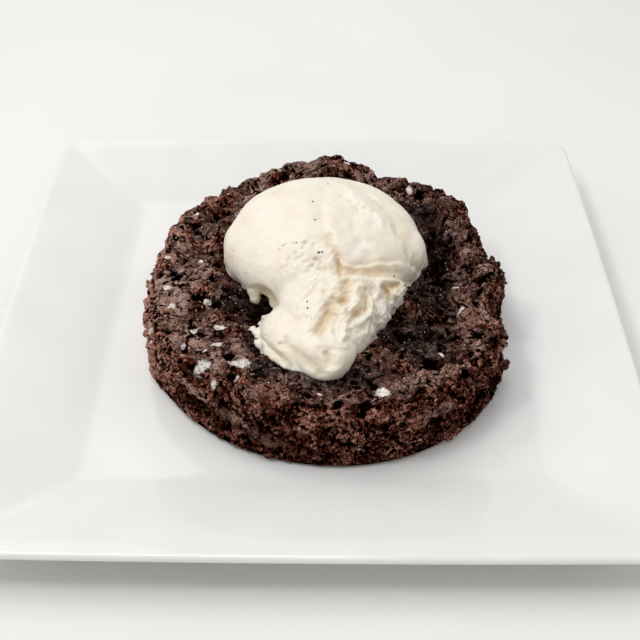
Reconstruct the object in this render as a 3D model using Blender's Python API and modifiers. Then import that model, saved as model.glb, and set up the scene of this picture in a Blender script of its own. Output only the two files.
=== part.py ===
"""A small flourless chocolate cake with a flattened scoop of vanilla ice cream, served on a square plate.

Metres, +Z up. The origin is the middle of the plate's foot, on the table. +Y runs to the back of the plate.
"""

import math

import bmesh
import bpy
from mathutils import Euler, Matrix, Vector, noise
from mathutils.bvhtree import BVHTree

GAP = 0.0003  # air left between two pieces that rest on each other
SLIVER = 0.00003  # points nearer than this are merged after a union

# Plate
PLATE_SIDE = 0.203
PLATE_CORNER = 0.0055  # radius of the plate's outer corners
SIDE_BOW = 0.0008  # the sides swell outwards by this much at their middles
RIM_TOP = 0.017
LIP_THICKNESS = 0.0028
RIM_THICKNESS = 0.0040  # just inside the lip
WELL_SIDE = 0.135  # where the well's floor meets the sloping rim
WELL_CORNER = 0.004
WELL_TOP = 0.008
WELL_BLEND = 0.003  # the floor curves up into the rim over this much on each side
FOOT_SIDE = 0.128  # middle line of the foot ring
FOOT_WIDTH = 0.0036
FOOT_HEIGHT = 0.0026
FOOT_BEVEL = 0.0006
UNDER_SPREAD = 0.010  # the underside leaves the foot's height this far out
FLOOR_UNDER = 0.003  # height of the plate's underside inside the foot
CORNER_STEPS = 5
SIDE_STEPS = 4

# Cake
CAKE_CENTRE = Vector((0.006, -0.0027, WELL_TOP + GAP))
CAKE_RADIUS = 0.0608
CREST_RADIUS = 0.0545
CREST_HEIGHT = 0.0275
CENTRE_HEIGHT = 0.0205  # the middle sank while it cooled
CAKE_SEGMENTS = 128
CAKE_SEED = Vector((3.7, 1.9, 5.3))  # moves the noise that the relief is read from
SWELL_SIZE, SWELL_HEIGHT = 0.024, 0.0012  # the relief: broad swells
LUMP_SIZE, LUMP_HEIGHT = 0.0085, 0.0024  # lumps of crust with gaps between them
CRUMB_SIZE, CRUMB_HEIGHT = 0.0031, 0.0014  # single crumbs
SUGAR_THICKNESS = 0.0016

# Ice cream
SCOOP_VOXEL = 0.0011
SCOOP_FACES = 3600
SEAT_CLEARANCE = 0.0004  # the cake is this much thicker where the scoop is cut to sit on it


def new_object(name, mesh, collection):
    obj = bpy.data.objects.new(name, mesh)
    collection.objects.link(obj)
    return obj


def evaluated_mesh(obj):
    """A plain copy of what the object's modifiers make."""
    graph = bpy.context.evaluated_depsgraph_get()
    return bpy.data.meshes.new_from_object(obj.evaluated_get(graph))


def apply_modifiers(obj):
    made = evaluated_mesh(obj)
    obj.modifiers.clear()
    old = obj.data
    obj.data = made
    bpy.data.meshes.remove(old)


def remove_object(obj):
    data = obj.data
    bpy.data.objects.remove(obj)
    bpy.data.meshes.remove(data)


def finish_material(obj, name, colour, roughness, coat=0.0):
    material = bpy.data.materials.new(name)
    material.use_nodes = True
    shader = material.node_tree.nodes["Principled BSDF"]
    shader.inputs["Base Color"].default_value = (*colour, 1)
    shader.inputs["Roughness"].default_value = roughness
    shader.inputs["Coat Weight"].default_value = coat
    material.diffuse_color = (*colour, 1)
    obj.data.materials.clear()
    obj.data.materials.append(material)


def smoothstep(low, high, value):
    t = min(1.0, max(0.0, (value - low) / (high - low)))
    return t * t * (3 - 2 * t)


def arc(centre, radius, start, end, steps):
    """Points of an arc in the profile's plane, from one angle in degrees to another, ends included."""
    angles = [math.radians(start + (end - start) * i / steps) for i in range(steps + 1)]
    return [(centre[0] + radius * math.cos(a), centre[1] + radius * math.sin(a)) for a in angles]


def plate_profile():
    """Half-side and height of each ring, from the well's floor over the lip and down to the underside."""
    half = PLATE_SIDE / 2
    well = WELL_SIDE / 2
    foot = FOOT_SIDE / 2
    edge = LIP_THICKNESS / 2
    slope = (RIM_TOP - WELL_TOP) / (half - 2 * edge - well)
    top = [
        (well - WELL_BLEND, WELL_TOP),
        (well, WELL_TOP + slope * WELL_BLEND * 0.3),
        (well + WELL_BLEND, WELL_TOP + slope * WELL_BLEND),
        (half - 4 * edge, RIM_TOP - slope * 2 * edge),
    ]
    lip = arc((half - edge, RIM_TOP - edge), edge, 105, -105, 6)
    outer = foot + FOOT_WIDTH / 2
    inner = foot - FOOT_WIDTH / 2
    under = [
        (half - 5 * edge, RIM_TOP - RIM_THICKNESS),
        (foot + UNDER_SPREAD, 2.2 * FOOT_HEIGHT),
        (foot + 0.55 * UNDER_SPREAD, 1.3 * FOOT_HEIGHT),
        (outer + FOOT_BEVEL, FOOT_HEIGHT / 2),
        (outer - FOOT_BEVEL, 0.0),
        (inner + FOOT_BEVEL, 0.0),
        (inner - FOOT_BEVEL, FOOT_HEIGHT / 2),
        (inner - 4 * FOOT_BEVEL, FLOOR_UNDER),
    ]
    return top + lip + under


def square_ring(half, corner, bow):
    """Points of a square with round corners and slightly swollen sides, anticlockwise."""
    points = []
    for quarter in range(4):
        turn = Matrix.Rotation(math.radians(90 * quarter), 2)
        straight = half - corner
        side = [Vector((half, straight * (2 * i / SIDE_STEPS - 1))) for i in range(SIDE_STEPS)]
        corner_arc = arc((straight, straight), corner, 0, 90, CORNER_STEPS)
        for point in side + [Vector(p) for p in corner_arc[:-1]]:
            swell = bow * (1 - min(1.0, abs(point.y) / half) ** 2) if point.x > straight else 0.0
            points.append(turn @ Vector((point.x + swell, point.y)))
    return points


def build_plate(collection):
    bm = bmesh.new()
    rings = []
    half = PLATE_SIDE / 2
    for size, height in plate_profile():
        share = min(1.0, max(0.0, (size - WELL_SIDE / 2) / (half - WELL_SIDE / 2)))
        corner = WELL_CORNER + (PLATE_CORNER - WELL_CORNER) * share
        outline = square_ring(size, corner, SIDE_BOW * share)
        rings.append([bm.verts.new((p.x, p.y, height)) for p in outline])
    for inner, outer in zip(rings, rings[1:]):
        count = len(inner)
        for i in range(count):
            j = (i + 1) % count
            bm.faces.new((inner[i], outer[i], outer[j], inner[j]))
    bm.faces.new(rings[0])
    bm.faces.new(reversed(rings[-1]))
    mesh = bpy.data.meshes.new("plate")
    bm.to_mesh(mesh)
    bm.free()
    mesh.shade_smooth()
    mesh.set_sharp_from_angle(angle=math.radians(35))
    plate = new_object("plate", mesh, collection)
    finish_material(plate, "glazed white porcelain", (0.83, 0.83, 0.81), 0.08, coat=0.5)
    return plate


# Where the crest is worn, broken or raised: azimuth in degrees from +X, half width in degrees,
# change of radius and change of height at the middle of the stretch
CREST_WEAR = [
    (13, 13, -0.0060, -0.0030),
    (32, 9, -0.0022, 0.0010),
    (50, 13, 0.0006, 0.0014),
    (70, 10, 0.0006, 0.0014),
    (95, 12, 0.0012, 0.0044),
    (124, 10, -0.0008, -0.0006),
    (146, 11, 0.0014, 0.0004),
    (170, 14, -0.0004, -0.0008),
    (215, 26, 0.0008, -0.0018),
    (262, 24, -0.0002, -0.0030),
    (300, 18, 0.0012, -0.0014),
    (330, 14, 0.0010, 0.0004),
]

# Where the whole wall stands in or out: azimuth, half width, change of radius
WALL_WEAR = [
    (5, 16, -0.0040),
    (272, 40, 0.0004),
]

# Pits in the top: x and y from the cake's centre, radius, depth
TOP_PITS = [
    (0.0385, 0.0220, 0.0065, 0.0050),
    (0.0375, 0.0030, 0.0075, 0.0060),
    (0.0270, -0.0275, 0.0060, 0.0030),
    (-0.0215, -0.0165, 0.0080, 0.0035),
    (-0.0200, -0.0345, 0.0055, 0.0025),
    (-0.0440, 0.0160, 0.0045, 0.0022),
    (0.0210, -0.0520, 0.0028, 0.0024),
    (0.0010, -0.0490, 0.0065, 0.0022),
]

# Sugar lumps baked into the crust: x and y from the plate's middle, length, width, heading in degrees
SUGAR_GRAINS = [
    (-0.0211, -0.0459, 0.0054, 0.0036, 20),
    (-0.0322, -0.0455, 0.0044, 0.0030, -10),
    (0.0203, -0.0560, 0.0036, 0.0026, -25),
    (-0.0284, -0.0375, 0.0031, 0.0024, 10),
    (-0.0281, -0.0296, 0.0034, 0.0020, -15),
    (-0.0458, -0.0130, 0.0026, 0.0020, 0),
    (-0.0434, -0.0218, 0.0026, 0.0022, 30),
    (-0.0329, -0.0177, 0.0028, 0.0022, 60),
    (-0.0359, -0.0308, 0.0026, 0.0018, -20),
    (-0.0364, 0.0008, 0.0022, 0.0018, 80),
    (-0.0401, 0.0244, 0.0020, 0.0016, 0),
    (0.0335, 0.0414, 0.0030, 0.0016, -60),
    (0.0116, 0.0520, 0.0022, 0.0016, 10),
    (0.0449, -0.0109, 0.0024, 0.0018, 60),
    (0.0446, -0.0243, 0.0020, 0.0018, 30),
    (-0.0284, -0.0510, 0.0020, 0.0016, 90),
]


def cake_profile():
    """Radius and height down the turned body, from the top's middle to the base's middle."""
    top = []
    for share in (0.0, 0.30, 0.48, 0.58, 0.66, 0.73, 0.80, 0.87, 0.93, 1.0):
        rise = smoothstep(0.25, 1.0, share)
        top.append((CREST_RADIUS * share, CENTRE_HEIGHT + (CREST_HEIGHT - CENTRE_HEIGHT) * rise))
    shoulder = [
        (CREST_RADIUS + 0.0024, CREST_HEIGHT - 0.0010),
        (CREST_RADIUS + 0.0044, CREST_HEIGHT - 0.0034),
    ]
    wall_top = CREST_HEIGHT - 0.0066
    wall = [(CAKE_RADIUS - 0.0008 * (i / 7), wall_top * i / 7) for i in range(7, 0, -1)]
    base = [(CAKE_RADIUS - 0.0004, 0.0006), (CAKE_RADIUS - 0.0016, 0.0), (CAKE_RADIUS * 0.6, 0.0), (0.0, 0.0)]
    return top + shoulder + wall + base


def crest_change(azimuth):
    """How far the crest moves out and up at an azimuth."""
    out = 0.0
    up = 0.0
    for middle, half_width, change_out, change_up in CREST_WEAR:
        away = abs((azimuth - middle + 180) % 360 - 180) / half_width
        weight = math.exp(-away * away)
        out += weight * change_out
        up += weight * change_up
    return out, up


def wall_change(azimuth):
    """How far the wall stands out at an azimuth."""
    return sum(
        out * math.exp(-(((azimuth - middle + 180) % 360 - 180) / half_width) ** 2)
        for middle, half_width, out in WALL_WEAR
    )


def crumb_relief(place):
    """Height of the broken crust at a place, in metres."""
    sample = place + CAKE_SEED
    swell = noise.fractal(sample / SWELL_SIZE, 0.9, 2.1, 2)
    nearest = noise.voronoi(sample / LUMP_SIZE)[0]
    lump = min(1.0, (nearest[1] - nearest[0]) * 1.8) - 0.55
    crumb = noise.noise(sample / CRUMB_SIZE)
    return SWELL_HEIGHT * swell + LUMP_HEIGHT * lump + CRUMB_HEIGHT * crumb


def bumped(vert):
    """Where a point of the turned body moves to, from the cake's centre."""
    radius = math.hypot(vert.co.x, vert.co.y)
    azimuth = math.degrees(math.atan2(vert.co.y, vert.co.x)) % 360
    height = vert.co.z / CREST_HEIGHT
    outwards = vert.co.xy.to_3d().normalized() if radius > 0 else Vector()
    out, up = crest_change(azimuth)
    at_crest = smoothstep(0.62, 0.95, radius / CREST_RADIUS) * smoothstep(0.25, 0.9, height)
    at_wall = smoothstep(0.5, 0.95, radius / CREST_RADIUS)
    place = vert.co + outwards * (out * at_crest + wall_change(azimuth) * at_wall)
    place.z += up * at_crest
    on_top = height > 0.5
    bare = smoothstep(0.26, 0.42, radius / CREST_RADIUS) if on_top else 1.0
    place += vert.normal * crumb_relief(vert.co) * bare * smoothstep(0.0, 0.16, height)
    if on_top:
        for x, y, size, depth in TOP_PITS:
            away = math.hypot(vert.co.x - x, vert.co.y - y) / size
            place.z -= depth * math.exp(-away * away)
    return place


def build_cake(collection, scratch):
    mesh = bpy.data.meshes.new("cake profile")
    points = [(radius, 0.0, height) for radius, height in cake_profile()]
    mesh.from_pydata(points, [(i, i + 1) for i in range(len(points) - 1)], [])
    cake = new_object("cake", mesh, collection)
    turn = cake.modifiers.new("turn", "SCREW")
    turn.steps = CAKE_SEGMENTS
    turn.render_steps = CAKE_SEGMENTS
    turn.use_merge_vertices = True
    turn.merge_threshold = 0.00005
    apply_modifiers(cake)
    bm = bmesh.new()
    bm.from_mesh(cake.data)
    bmesh.ops.recalc_face_normals(bm, faces=bm.faces)
    bm.normal_update()
    places = [bumped(vert) for vert in bm.verts]
    for vert, place in zip(bm.verts, places):
        vert.co = place + CAKE_CENTRE
    bm.to_mesh(cake.data)
    bm.free()
    join_toppings(cake, scratch)
    tidy_triangles(cake)
    cake.data.shade_smooth()
    finish_material(cake, "dark chocolate crumb", (0.030, 0.012, 0.008), 0.6)
    return cake


def tidy_triangles(obj):
    """Merges the slivers that a union leaves and splits every face into triangles."""
    bm = bmesh.new()
    bm.from_mesh(obj.data)
    bmesh.ops.remove_doubles(bm, verts=bm.verts, dist=SLIVER)
    bmesh.ops.dissolve_degenerate(bm, edges=bm.edges, dist=SLIVER)
    bmesh.ops.triangulate(bm, faces=bm.faces, quad_method="SHORT_EDGE")
    bm.to_mesh(obj.data)
    bm.free()


def sugar_grain(place, normal, length, width, heading, collection):
    """A low rounded lump, turned to lie on the surface at a place."""
    bm = bmesh.new()
    lie = normal.to_track_quat("Z", "Y").to_matrix().to_4x4()
    turn = Matrix.Rotation(math.radians(heading), 4, "Z")
    size = Matrix.Diagonal((length, width, SUGAR_THICKNESS, 1))
    where = Matrix.Translation(place) @ lie @ turn @ size
    bmesh.ops.create_uvsphere(bm, u_segments=7, v_segments=4, radius=0.5, matrix=where)
    mesh = bpy.data.meshes.new("grain")
    bm.to_mesh(mesh)
    bm.free()
    return new_object("grain", mesh, collection)


def join_toppings(cake, scratch):
    """Joins the sugar grains to the crust they are baked into."""
    bm = bmesh.new()
    bm.from_mesh(cake.data)
    surface = BVHTree.FromBMesh(bm)
    toppings = bpy.data.collections.new("toppings")
    scratch.children.link(toppings)
    down = Vector((0, 0, -1))
    for x, y, length, width, heading in SUGAR_GRAINS:
        place, normal, _, _ = surface.ray_cast(Vector((x, y, 0.1)), down)
        sugar_grain(place, normal, length, width, heading, toppings)
    bm.free()
    join = cake.modifiers.new("join toppings", "BOOLEAN")
    join.operation = "UNION"
    join.operand_type = "COLLECTION"
    join.collection = toppings
    join.solver = "EXACT"
    apply_modifiers(cake)
    for obj in list(toppings.objects):
        remove_object(obj)


# Lumps that make up the scoop: centre, radii, turn about X, Y and Z in degrees
SCOOP_LUMPS = [
    ((0.0034, 0.0036, 0.0393), (0.0330, 0.0296, 0.0170), (0, 0, 0)),  # dome
    ((0.0040, 0.0085, 0.0345), (0.0275, 0.0220, 0.0130), (0, 0, 0)),  # its foot, sunk into the cake
    ((0.0168, -0.0130, 0.0363), (0.0155, 0.0115, 0.0105), (0, 0, -20)),  # right flank
    ((0.0155, -0.0230, 0.0340), (0.0095, 0.0090, 0.0070), (0, 0, 0)),
    ((0.0045, -0.0220, 0.0370), (0.0158, 0.0230, 0.0110), (14, 0, 8)),  # tongue
    ((0.0030, -0.0372, 0.0345), (0.0108, 0.0142, 0.0080), (5, 0, 8)),  # its tip
    ((-0.0046, -0.0340, 0.0330), (0.0108, 0.0132, 0.0077), (0, 0, 20)),  # lobe at the tip's left
]

# The scoop is carved from the front and a little above. Carved places are in metres across and up a plane
# that faces that way, from the middle of the dome
CARVE_CENTRE = Vector(SCOOP_LUMPS[0][0])
CARVE_TILT = math.radians(42)
CARVE_UP = Vector((0, math.sin(CARVE_TILT), math.cos(CARVE_TILT)))
CARVE_TOWARDS = Vector((0, -math.cos(CARVE_TILT), math.sin(CARVE_TILT)))

# Grooves and hollows: places along each, reach to each side, depth
SCOOP_GROOVES = [
    ([(0.009, 0.010), (0.014, -0.001)], 0.0075, 0.0012),  # the facet that the spoon left
    ([(0.007, 0.019), (0.0145, 0.014), (0.0204, 0.006), (0.024, -0.0005), (0.028, -0.008)], 0.0016, 0.0010),
    ([(0.0008, 0.0), (0.0024, -0.003), (0.0037, -0.007), (0.0048, -0.012)], 0.0015, 0.0011),
    ([(0.0066, -0.0135), (0.0064, -0.0175)], 0.0018, 0.0018),
    ([(0.0182, -0.0155), (0.0216, -0.0145)], 0.0018, 0.0016),
    ([(0.0014, -0.020), (0.0, -0.0245), (-0.0015, -0.029)], 0.0018, 0.0016),
    ([(0.0127, -0.016), (0.0126, -0.0205), (0.0089, -0.0238)], 0.0016, 0.0014),
    ([(-0.018, -0.0305), (-0.0142, -0.0337), (-0.0094, -0.038)], 0.0014, 0.0010),  # crease beside the lobe
    ([(0.0014, -0.0349), (0.0018, -0.0372)], 0.0015, 0.0010),
]

# The ledge under the facet: places along its edge, depth of the torn face below it, height of that face
LEDGE_EDGE = [(0.0050, -0.0118), (0.0084, -0.0124), (0.0155, -0.0130), (0.0206, -0.0132), (0.0262, -0.0145)]
LEDGE_DEPTH = 0.0022
TORN_HEIGHT = 0.012

# The bite at the left, under the dome: centre, radii, turn about X in degrees
SCOOP_BITE = ((-0.0148, -0.0205, 0.0362), (0.0040, 0.0095, 0.0044), (-42, 0, 0))


def along(points, place):
    """Distance of a place from a broken line, and whether it lies below the line."""
    best = (math.inf, False)
    for start, end in zip(points, points[1:]):
        run = Vector(end) - Vector(start)
        share = min(1.0, max(0.0, (place - Vector(start)).dot(run) / run.length_squared))
        offset = place - (Vector(start) + run * share)
        if offset.length < best[0]:
            best = (offset.length, run.cross(offset) < 0)
    return best


def carved_depth(place):
    """How deep the scoop is carved at a place on the carving plane."""
    depth = 0.0
    for points, reach, deepest in SCOOP_GROOVES:
        away, _ = along(points, place)
        depth += deepest * math.exp(-((away / reach) ** 2))
    away, below = along(LEDGE_EDGE, place)
    if below:
        inside = smoothstep(-0.002, 0.001, place.x - LEDGE_EDGE[0][0])
        torn = smoothstep(0.0, 0.0015, away) * (1 - smoothstep(0.3 * TORN_HEIGHT, TORN_HEIGHT, away))
        depth += LEDGE_DEPTH * inside * torn
    return depth


def carve(obj):
    """Presses the grooves, the ledge and the facet into the side of the scoop that they are on."""
    for vert in obj.data.vertices:
        facing = smoothstep(0.0, 0.45, vert.normal.dot(CARVE_TOWARDS))
        if facing == 0:
            continue
        offset = vert.co - CARVE_CENTRE
        place = Vector((offset.x, offset.dot(CARVE_UP)))
        vert.co -= CARVE_TOWARDS * carved_depth(place) * facing


def cut_away(obj, cutter, name):
    cut = obj.modifiers.new(name, "BOOLEAN")
    cut.operation = "DIFFERENCE"
    cut.object = cutter
    cut.solver = "EXACT"
    apply_modifiers(obj)
    remove_object(cutter)


def ellipsoids(lumps, name, collection):
    bm = bmesh.new()
    for centre, radii, turn in lumps:
        angles = Euler([math.radians(angle) for angle in turn]).to_matrix().to_4x4()
        lie = Matrix.Translation(centre) @ angles @ Matrix.Diagonal((*radii, 1))
        bmesh.ops.create_icosphere(bm, subdivisions=4, radius=1.0, matrix=lie)
    mesh = bpy.data.meshes.new(name)
    bm.to_mesh(mesh)
    bm.free()
    return new_object(name, mesh, collection)


def build_ice_cream(collection, scratch, cake):
    scoop = ellipsoids(SCOOP_LUMPS, "ice_cream", collection)
    fuse = scoop.modifiers.new("fuse", "REMESH")
    fuse.mode = "VOXEL"
    fuse.voxel_size = SCOOP_VOXEL
    settle = scoop.modifiers.new("settle", "SMOOTH")
    settle.factor = 0.5
    settle.iterations = 12
    apply_modifiers(scoop)
    carve(scoop)
    cut_away(scoop, ellipsoids([SCOOP_BITE], "bite", scratch), "bite")
    thin = scoop.modifiers.new("thin", "DECIMATE")
    thin.ratio = SCOOP_FACES / (2 * len(scoop.data.polygons))
    apply_modifiers(scoop)
    footing = new_object("cake footing", cake.data.copy(), scratch)
    clearances = [vert.normal * SEAT_CLEARANCE for vert in footing.data.vertices]
    for vert, clearance in zip(footing.data.vertices, clearances):
        vert.co += clearance
    cut_away(scoop, footing, "seat on the cake")
    scoop.data.shade_smooth()
    finish_material(scoop, "vanilla ice cream", (0.86, 0.80, 0.68), 0.45)
    return scoop


def main():
    for obj in list(bpy.data.objects):
        bpy.data.objects.remove(obj)
    dessert = bpy.data.collections.new("chocolate cake dessert")
    scratch = bpy.data.collections.new("cutters")
    for made in (dessert, scratch):
        bpy.context.scene.collection.children.link(made)
    scratch.hide_render = True
    build_plate(dessert)
    cake = build_cake(dessert, scratch)
    build_ice_cream(dessert, scratch, cake)


main()
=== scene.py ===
import functools
import math
import random
import time

import bmesh
import bpy
import numpy as np
from mathutils import Euler, Matrix, Vector, noise
from mathutils.bvhtree import BVHTree


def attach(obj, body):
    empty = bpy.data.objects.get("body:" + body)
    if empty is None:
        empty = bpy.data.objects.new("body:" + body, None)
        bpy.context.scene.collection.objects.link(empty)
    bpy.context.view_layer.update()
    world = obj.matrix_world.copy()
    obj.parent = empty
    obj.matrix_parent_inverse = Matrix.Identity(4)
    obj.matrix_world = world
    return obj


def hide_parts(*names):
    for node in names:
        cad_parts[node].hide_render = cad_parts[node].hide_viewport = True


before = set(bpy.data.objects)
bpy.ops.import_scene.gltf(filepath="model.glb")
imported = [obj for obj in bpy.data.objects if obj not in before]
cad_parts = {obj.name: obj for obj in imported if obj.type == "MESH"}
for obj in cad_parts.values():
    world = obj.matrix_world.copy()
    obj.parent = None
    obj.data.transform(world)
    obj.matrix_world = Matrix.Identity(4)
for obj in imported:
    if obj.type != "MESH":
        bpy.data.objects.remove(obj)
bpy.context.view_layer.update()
mm = 0.001  # the scene is in metres
noise.seed_set(5)  # noise_vector would start from the clock
down = Vector((0, 0, -1))
overhead = 0.1  # metres: a ray that looks for a surface from above starts here
started = time.time()


def report(stage):
    print(stage, "after", round(time.time() - started, 1), "s")


report("frame loaded")


# Helpers

# the inputs of a Mix node go by number, because their names repeat
mixShare, valueA, valueB, colourA, colourB = 0, 2, 3, 6, 7


def linearColour(hexColour):
    # an sRGB hex value as the linear colour that a shader socket takes
    parts = [int(hexColour[i:i + 2], 16) / 255 for i in (1, 3, 5)]
    linear = [p / 12.92 if p <= 0.04045 else ((p + 0.055) / 1.055) ** 2.4 for p in parts]
    return (*linear, 1.0)


def linkInputs(node, links):
    # each input takes a socket, or the first output that a node has in use
    for key, source in links.items():
        if isinstance(source, bpy.types.Node):
            source = next(output for output in source.outputs if output.enabled)
        node.id_data.links.new(source, node.inputs[key])


def addNode(tree, kind, settings=None, links=None):
    # a setting is a property of the node, a ramp's stops, or the value or hex colour of the input with that
    # name or number
    node = tree.nodes.new("ShaderNode" + kind)
    for key, value in (settings or {}).items():
        if key == "stops":
            elements = node.color_ramp.elements
            while len(elements) < len(value):
                elements.new(0.5)
            for element, (position, hexColour) in zip(elements, value):
                element.position = position
                element.color = linearColour(hexColour)
        elif isinstance(key, str) and hasattr(node, key):
            setattr(node, key, value)
        else:
            node.inputs[key].default_value = linearColour(value) if isinstance(value, str) else value
    linkInputs(node, links or {})
    return node


def newMaterial(name, settings):
    # a material with its Principled shader set, what adds a node to it, and Object coordinates to read
    material = bpy.data.materials.new(name)
    material.use_nodes = True
    tree = material.node_tree
    tree.nodes.clear()
    shader = addNode(tree, "BsdfPrincipled", settings)
    addNode(tree, "OutputMaterial", links={"Surface": shader})
    where = addNode(tree, "TexCoord").outputs["Object"]
    return material, functools.partial(addNode, tree), shader, where


def smoothStep(low, unshaded, value):
    t = min(1.0, max(0.0, (value - low) / (unshaded - low)))
    return t * t * (3 - 2 * t)


def smoothSteps(low, unshaded, values):
    # the same over an array
    t = np.clip((values - low) / (unshaded - low), 0, 1)
    return t * t * (3 - 2 * t)


def meshFrom(bm, name):
    mesh = bpy.data.meshes.new(name)
    bm.to_mesh(mesh)
    bm.free()
    return mesh


def placeObject(name, data):
    placed = bpy.data.objects.new(name, data)
    bpy.context.scene.collection.objects.link(placed)
    return placed


def addPiece(name, made, material, replaced=None):
    # made is a mesh, or a bmesh that isn't needed any more
    mesh = meshFrom(made, name) if isinstance(made, bmesh.types.BMesh) else made
    mesh.shade_smooth()
    piece = placeObject(name, mesh)
    mesh.materials.clear()
    mesh.materials.append(material)
    if replaced:
        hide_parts(replaced)
    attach(piece, "root")
    report(name + " with " + str(len(mesh.polygons)) + " faces")


def appliedMesh(obj, modifiers):
    # the mesh that a list of modifiers makes of a scratch object, which goes
    for kind, settings in modifiers:
        modifier = obj.modifiers.new(kind.lower(), kind)
        for key, value in settings.items():
            setattr(modifier, key, value)
    graph = bpy.context.evaluated_depsgraph_get()
    made = bpy.data.meshes.new_from_object(obj.evaluated_get(graph))
    old = obj.data
    bpy.data.objects.remove(obj)
    bpy.data.meshes.remove(old)
    return made


def surfaceOf(mesh):
    return BVHTree.FromPolygons([v.co for v in mesh.vertices], [p.vertices[:] for p in mesh.polygons])


def storeValues(mesh, name, values):
    attribute = mesh.attributes.new(name, "FLOAT", "POINT")
    attribute.data.foreach_set("value", np.asarray(values, np.float32))


# Camera, lights and floor

cameraSettings = {
    "focal": 1041.2 / 640 * 36,  # mm: in pixels of a picture 640 wide, brought to the sensor
    "sensor": 36,
    "place": (0.0024, -0.26317, 0.24632),
    "pitch": 41.975,  # degrees below the horizon
    "roll": 0.552,
    "yaw": 0.108,
}


def makeCamera(s):
    data = bpy.data.cameras.new("camera")
    data.sensor_width = s["sensor"]
    data.lens = s["focal"]
    data.clip_start = 0.01
    camera = placeObject("camera", data)
    yaw = Matrix.Rotation(-math.radians(s["yaw"]), 4, "Z")
    tilt = Matrix.Rotation(math.radians(90 - s["pitch"]), 4, "X")
    roll = Matrix.Rotation(math.radians(s["roll"]), 4, "Z")
    camera.matrix_world = yaw @ Matrix.Translation(s["place"]) @ tilt @ roll
    bpy.context.scene.camera = camera


lightSettings = {
    # place, aim, width and height in metres, watts
    "key": ((-0.35, -0.03, 1.25), (0.0, 0.0, 0.0), 0.9, 0.9, 7.35),
    "lamp": ((-0.60, -0.25, 1.02), (0.0, 0.0, 0.0), 0.14, 0.14, 1.25),
    "farLamp": ((-0.55, 0.40, 1.02), (0.0, 0.0, 0.0), 0.14, 0.14, 0.95),
    "window": ((-0.55, 0.75, 0.85), (0.0, 0.0, 0.0), 0.9, 0.6, 1.1),
    "side": ((0.80, 0.0, 0.90), (0.0, 0.0, 0.0), 0.9, 0.9, 0.85),
}

# the room's even light
worldSettings = {"colour": "#fbfaf9", "strength": 0.505}


def makeLights():
    for name, (place, aim, width, height, watts) in lightSettings.items():
        data = bpy.data.lights.new(name, "AREA")
        data.shape = "RECTANGLE"
        data.size = width
        data.size_y = height
        data.energy = watts
        light = placeObject(name, data)
        light.location = place
        light.rotation_euler = (Vector(aim) - Vector(place)).to_track_quat("-Z", "Y").to_euler()
    world = bpy.data.worlds.new("studio")
    bpy.context.scene.world = world
    world.use_nodes = True
    background = world.node_tree.nodes["Background"]
    background.inputs["Color"].default_value = linearColour(worldSettings["colour"])
    background.inputs["Strength"].default_value = worldSettings["strength"]
    bpy.context.scene.view_settings.view_transform = "Standard"


floorSettings = {
    "halfWidth": 3.0,  # metres
    "mottle": 160 * mm,
    "tones": [(0.35, "#ebeae8"), (0.7, "#f0efed")],
}


def makeFloor(s):
    # painted board: dull and almost white, so that it throws light back up at the plate
    material, add, shader, where = newMaterial("matt white board", {
        "Roughness": 0.75, "IOR": 1.45, "Specular IOR Level": 0.2})
    mottle = add("TexNoise", {"Scale": 1 / s["mottle"], "Detail": 3.0}, {"Vector": where})
    linkInputs(shader, {"Base Color": add("ValToRGB", {"stops": s["tones"]}, {"Fac": mottle})})
    bm = bmesh.new()
    bmesh.ops.create_grid(bm, x_segments=2, y_segments=2, size=s["halfWidth"])
    floor = placeObject("floor", meshFrom(bm, "floor"))
    floor.data.materials.append(material)


makeCamera(cameraSettings)
makeLights()
makeFloor(floorSettings)
report("camera, lights and floor made")


# Plate

plateSettings = {
    "side": 203 * mm,
    "corner": 5.5 * mm,  # outline's corner radius at the lip
    "bow": 0.8 * mm,  # the sides swell out by this much at their middles
    "cornerSteps": 10,
    "sideCuts": 23,
    "lipTop": 17 * mm,
    "lipRadius": 1.4 * mm,
    "lipSteps": 12,
    "well": 67.5 * mm,  # half the width of the flat well
    "wellTop": 8 * mm,
    "bend": 3 * mm,  # the well curves up into the slope from this far inside its edge to as far outside
    "sag": 0.10 * mm,  # the slope is slightly hollow
    "foot": 64 * mm,
    "glaze": "#ebebe9",
    "glazeThick": "#efefed",
    "bareClay": "#d9d2c6",
}

# the underside from the slope over the foot ring: mm outwards from the ring's middle, height in mm
footProfile = [
    (18, 8.6), (10, 5.7), (5.5, 3.4), (2.6, 1.9), (1.9, 0.9), (1.5, 0.25), (1.1, 0.0),
    (-1.1, 0.0), (-1.5, 0.25), (-1.9, 0.9), (-2.6, 2.0), (-4.2, 2.9), (-7, 3.0),
]


def plateRings(s):
    # half width and height of each ring, from the well over the lip to the middle of the underside
    half, well, edge, bend = s["side"] / 2, s["well"], s["lipRadius"], s["bend"]
    slope = (s["lipTop"] - s["wellTop"]) / (half - 2 * edge - well)
    rings = [(well - 5.5 * mm, s["wellTop"])]
    for i in range(7):
        reach = i * mm - bend
        rings.append((well + reach, s["wellTop"] + slope * (reach + bend) ** 2 / (4 * bend)))
    start = rings[-1]
    end = (half - 3.6 * edge, s["lipTop"] - 1.8 * edge * slope)
    for i in range(1, 6):
        share = i / 5
        sag = s["sag"] * math.sin(math.pi * share)
        rings.append((start[0] + (end[0] - start[0]) * share, start[1] + (end[1] - start[1]) * share - sag))
    for i in range(s["lipSteps"] + 1):
        angle = math.radians(108 - 213 * i / s["lipSteps"])
        rings.append((half - edge + edge * math.cos(angle), s["lipTop"] - edge + edge * math.sin(angle)))
    rings.append((half - 5 * edge, s["lipTop"] - 4 * mm))
    return rings + [(s["foot"] + out * mm, height * mm) for out, height in footProfile]


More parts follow.
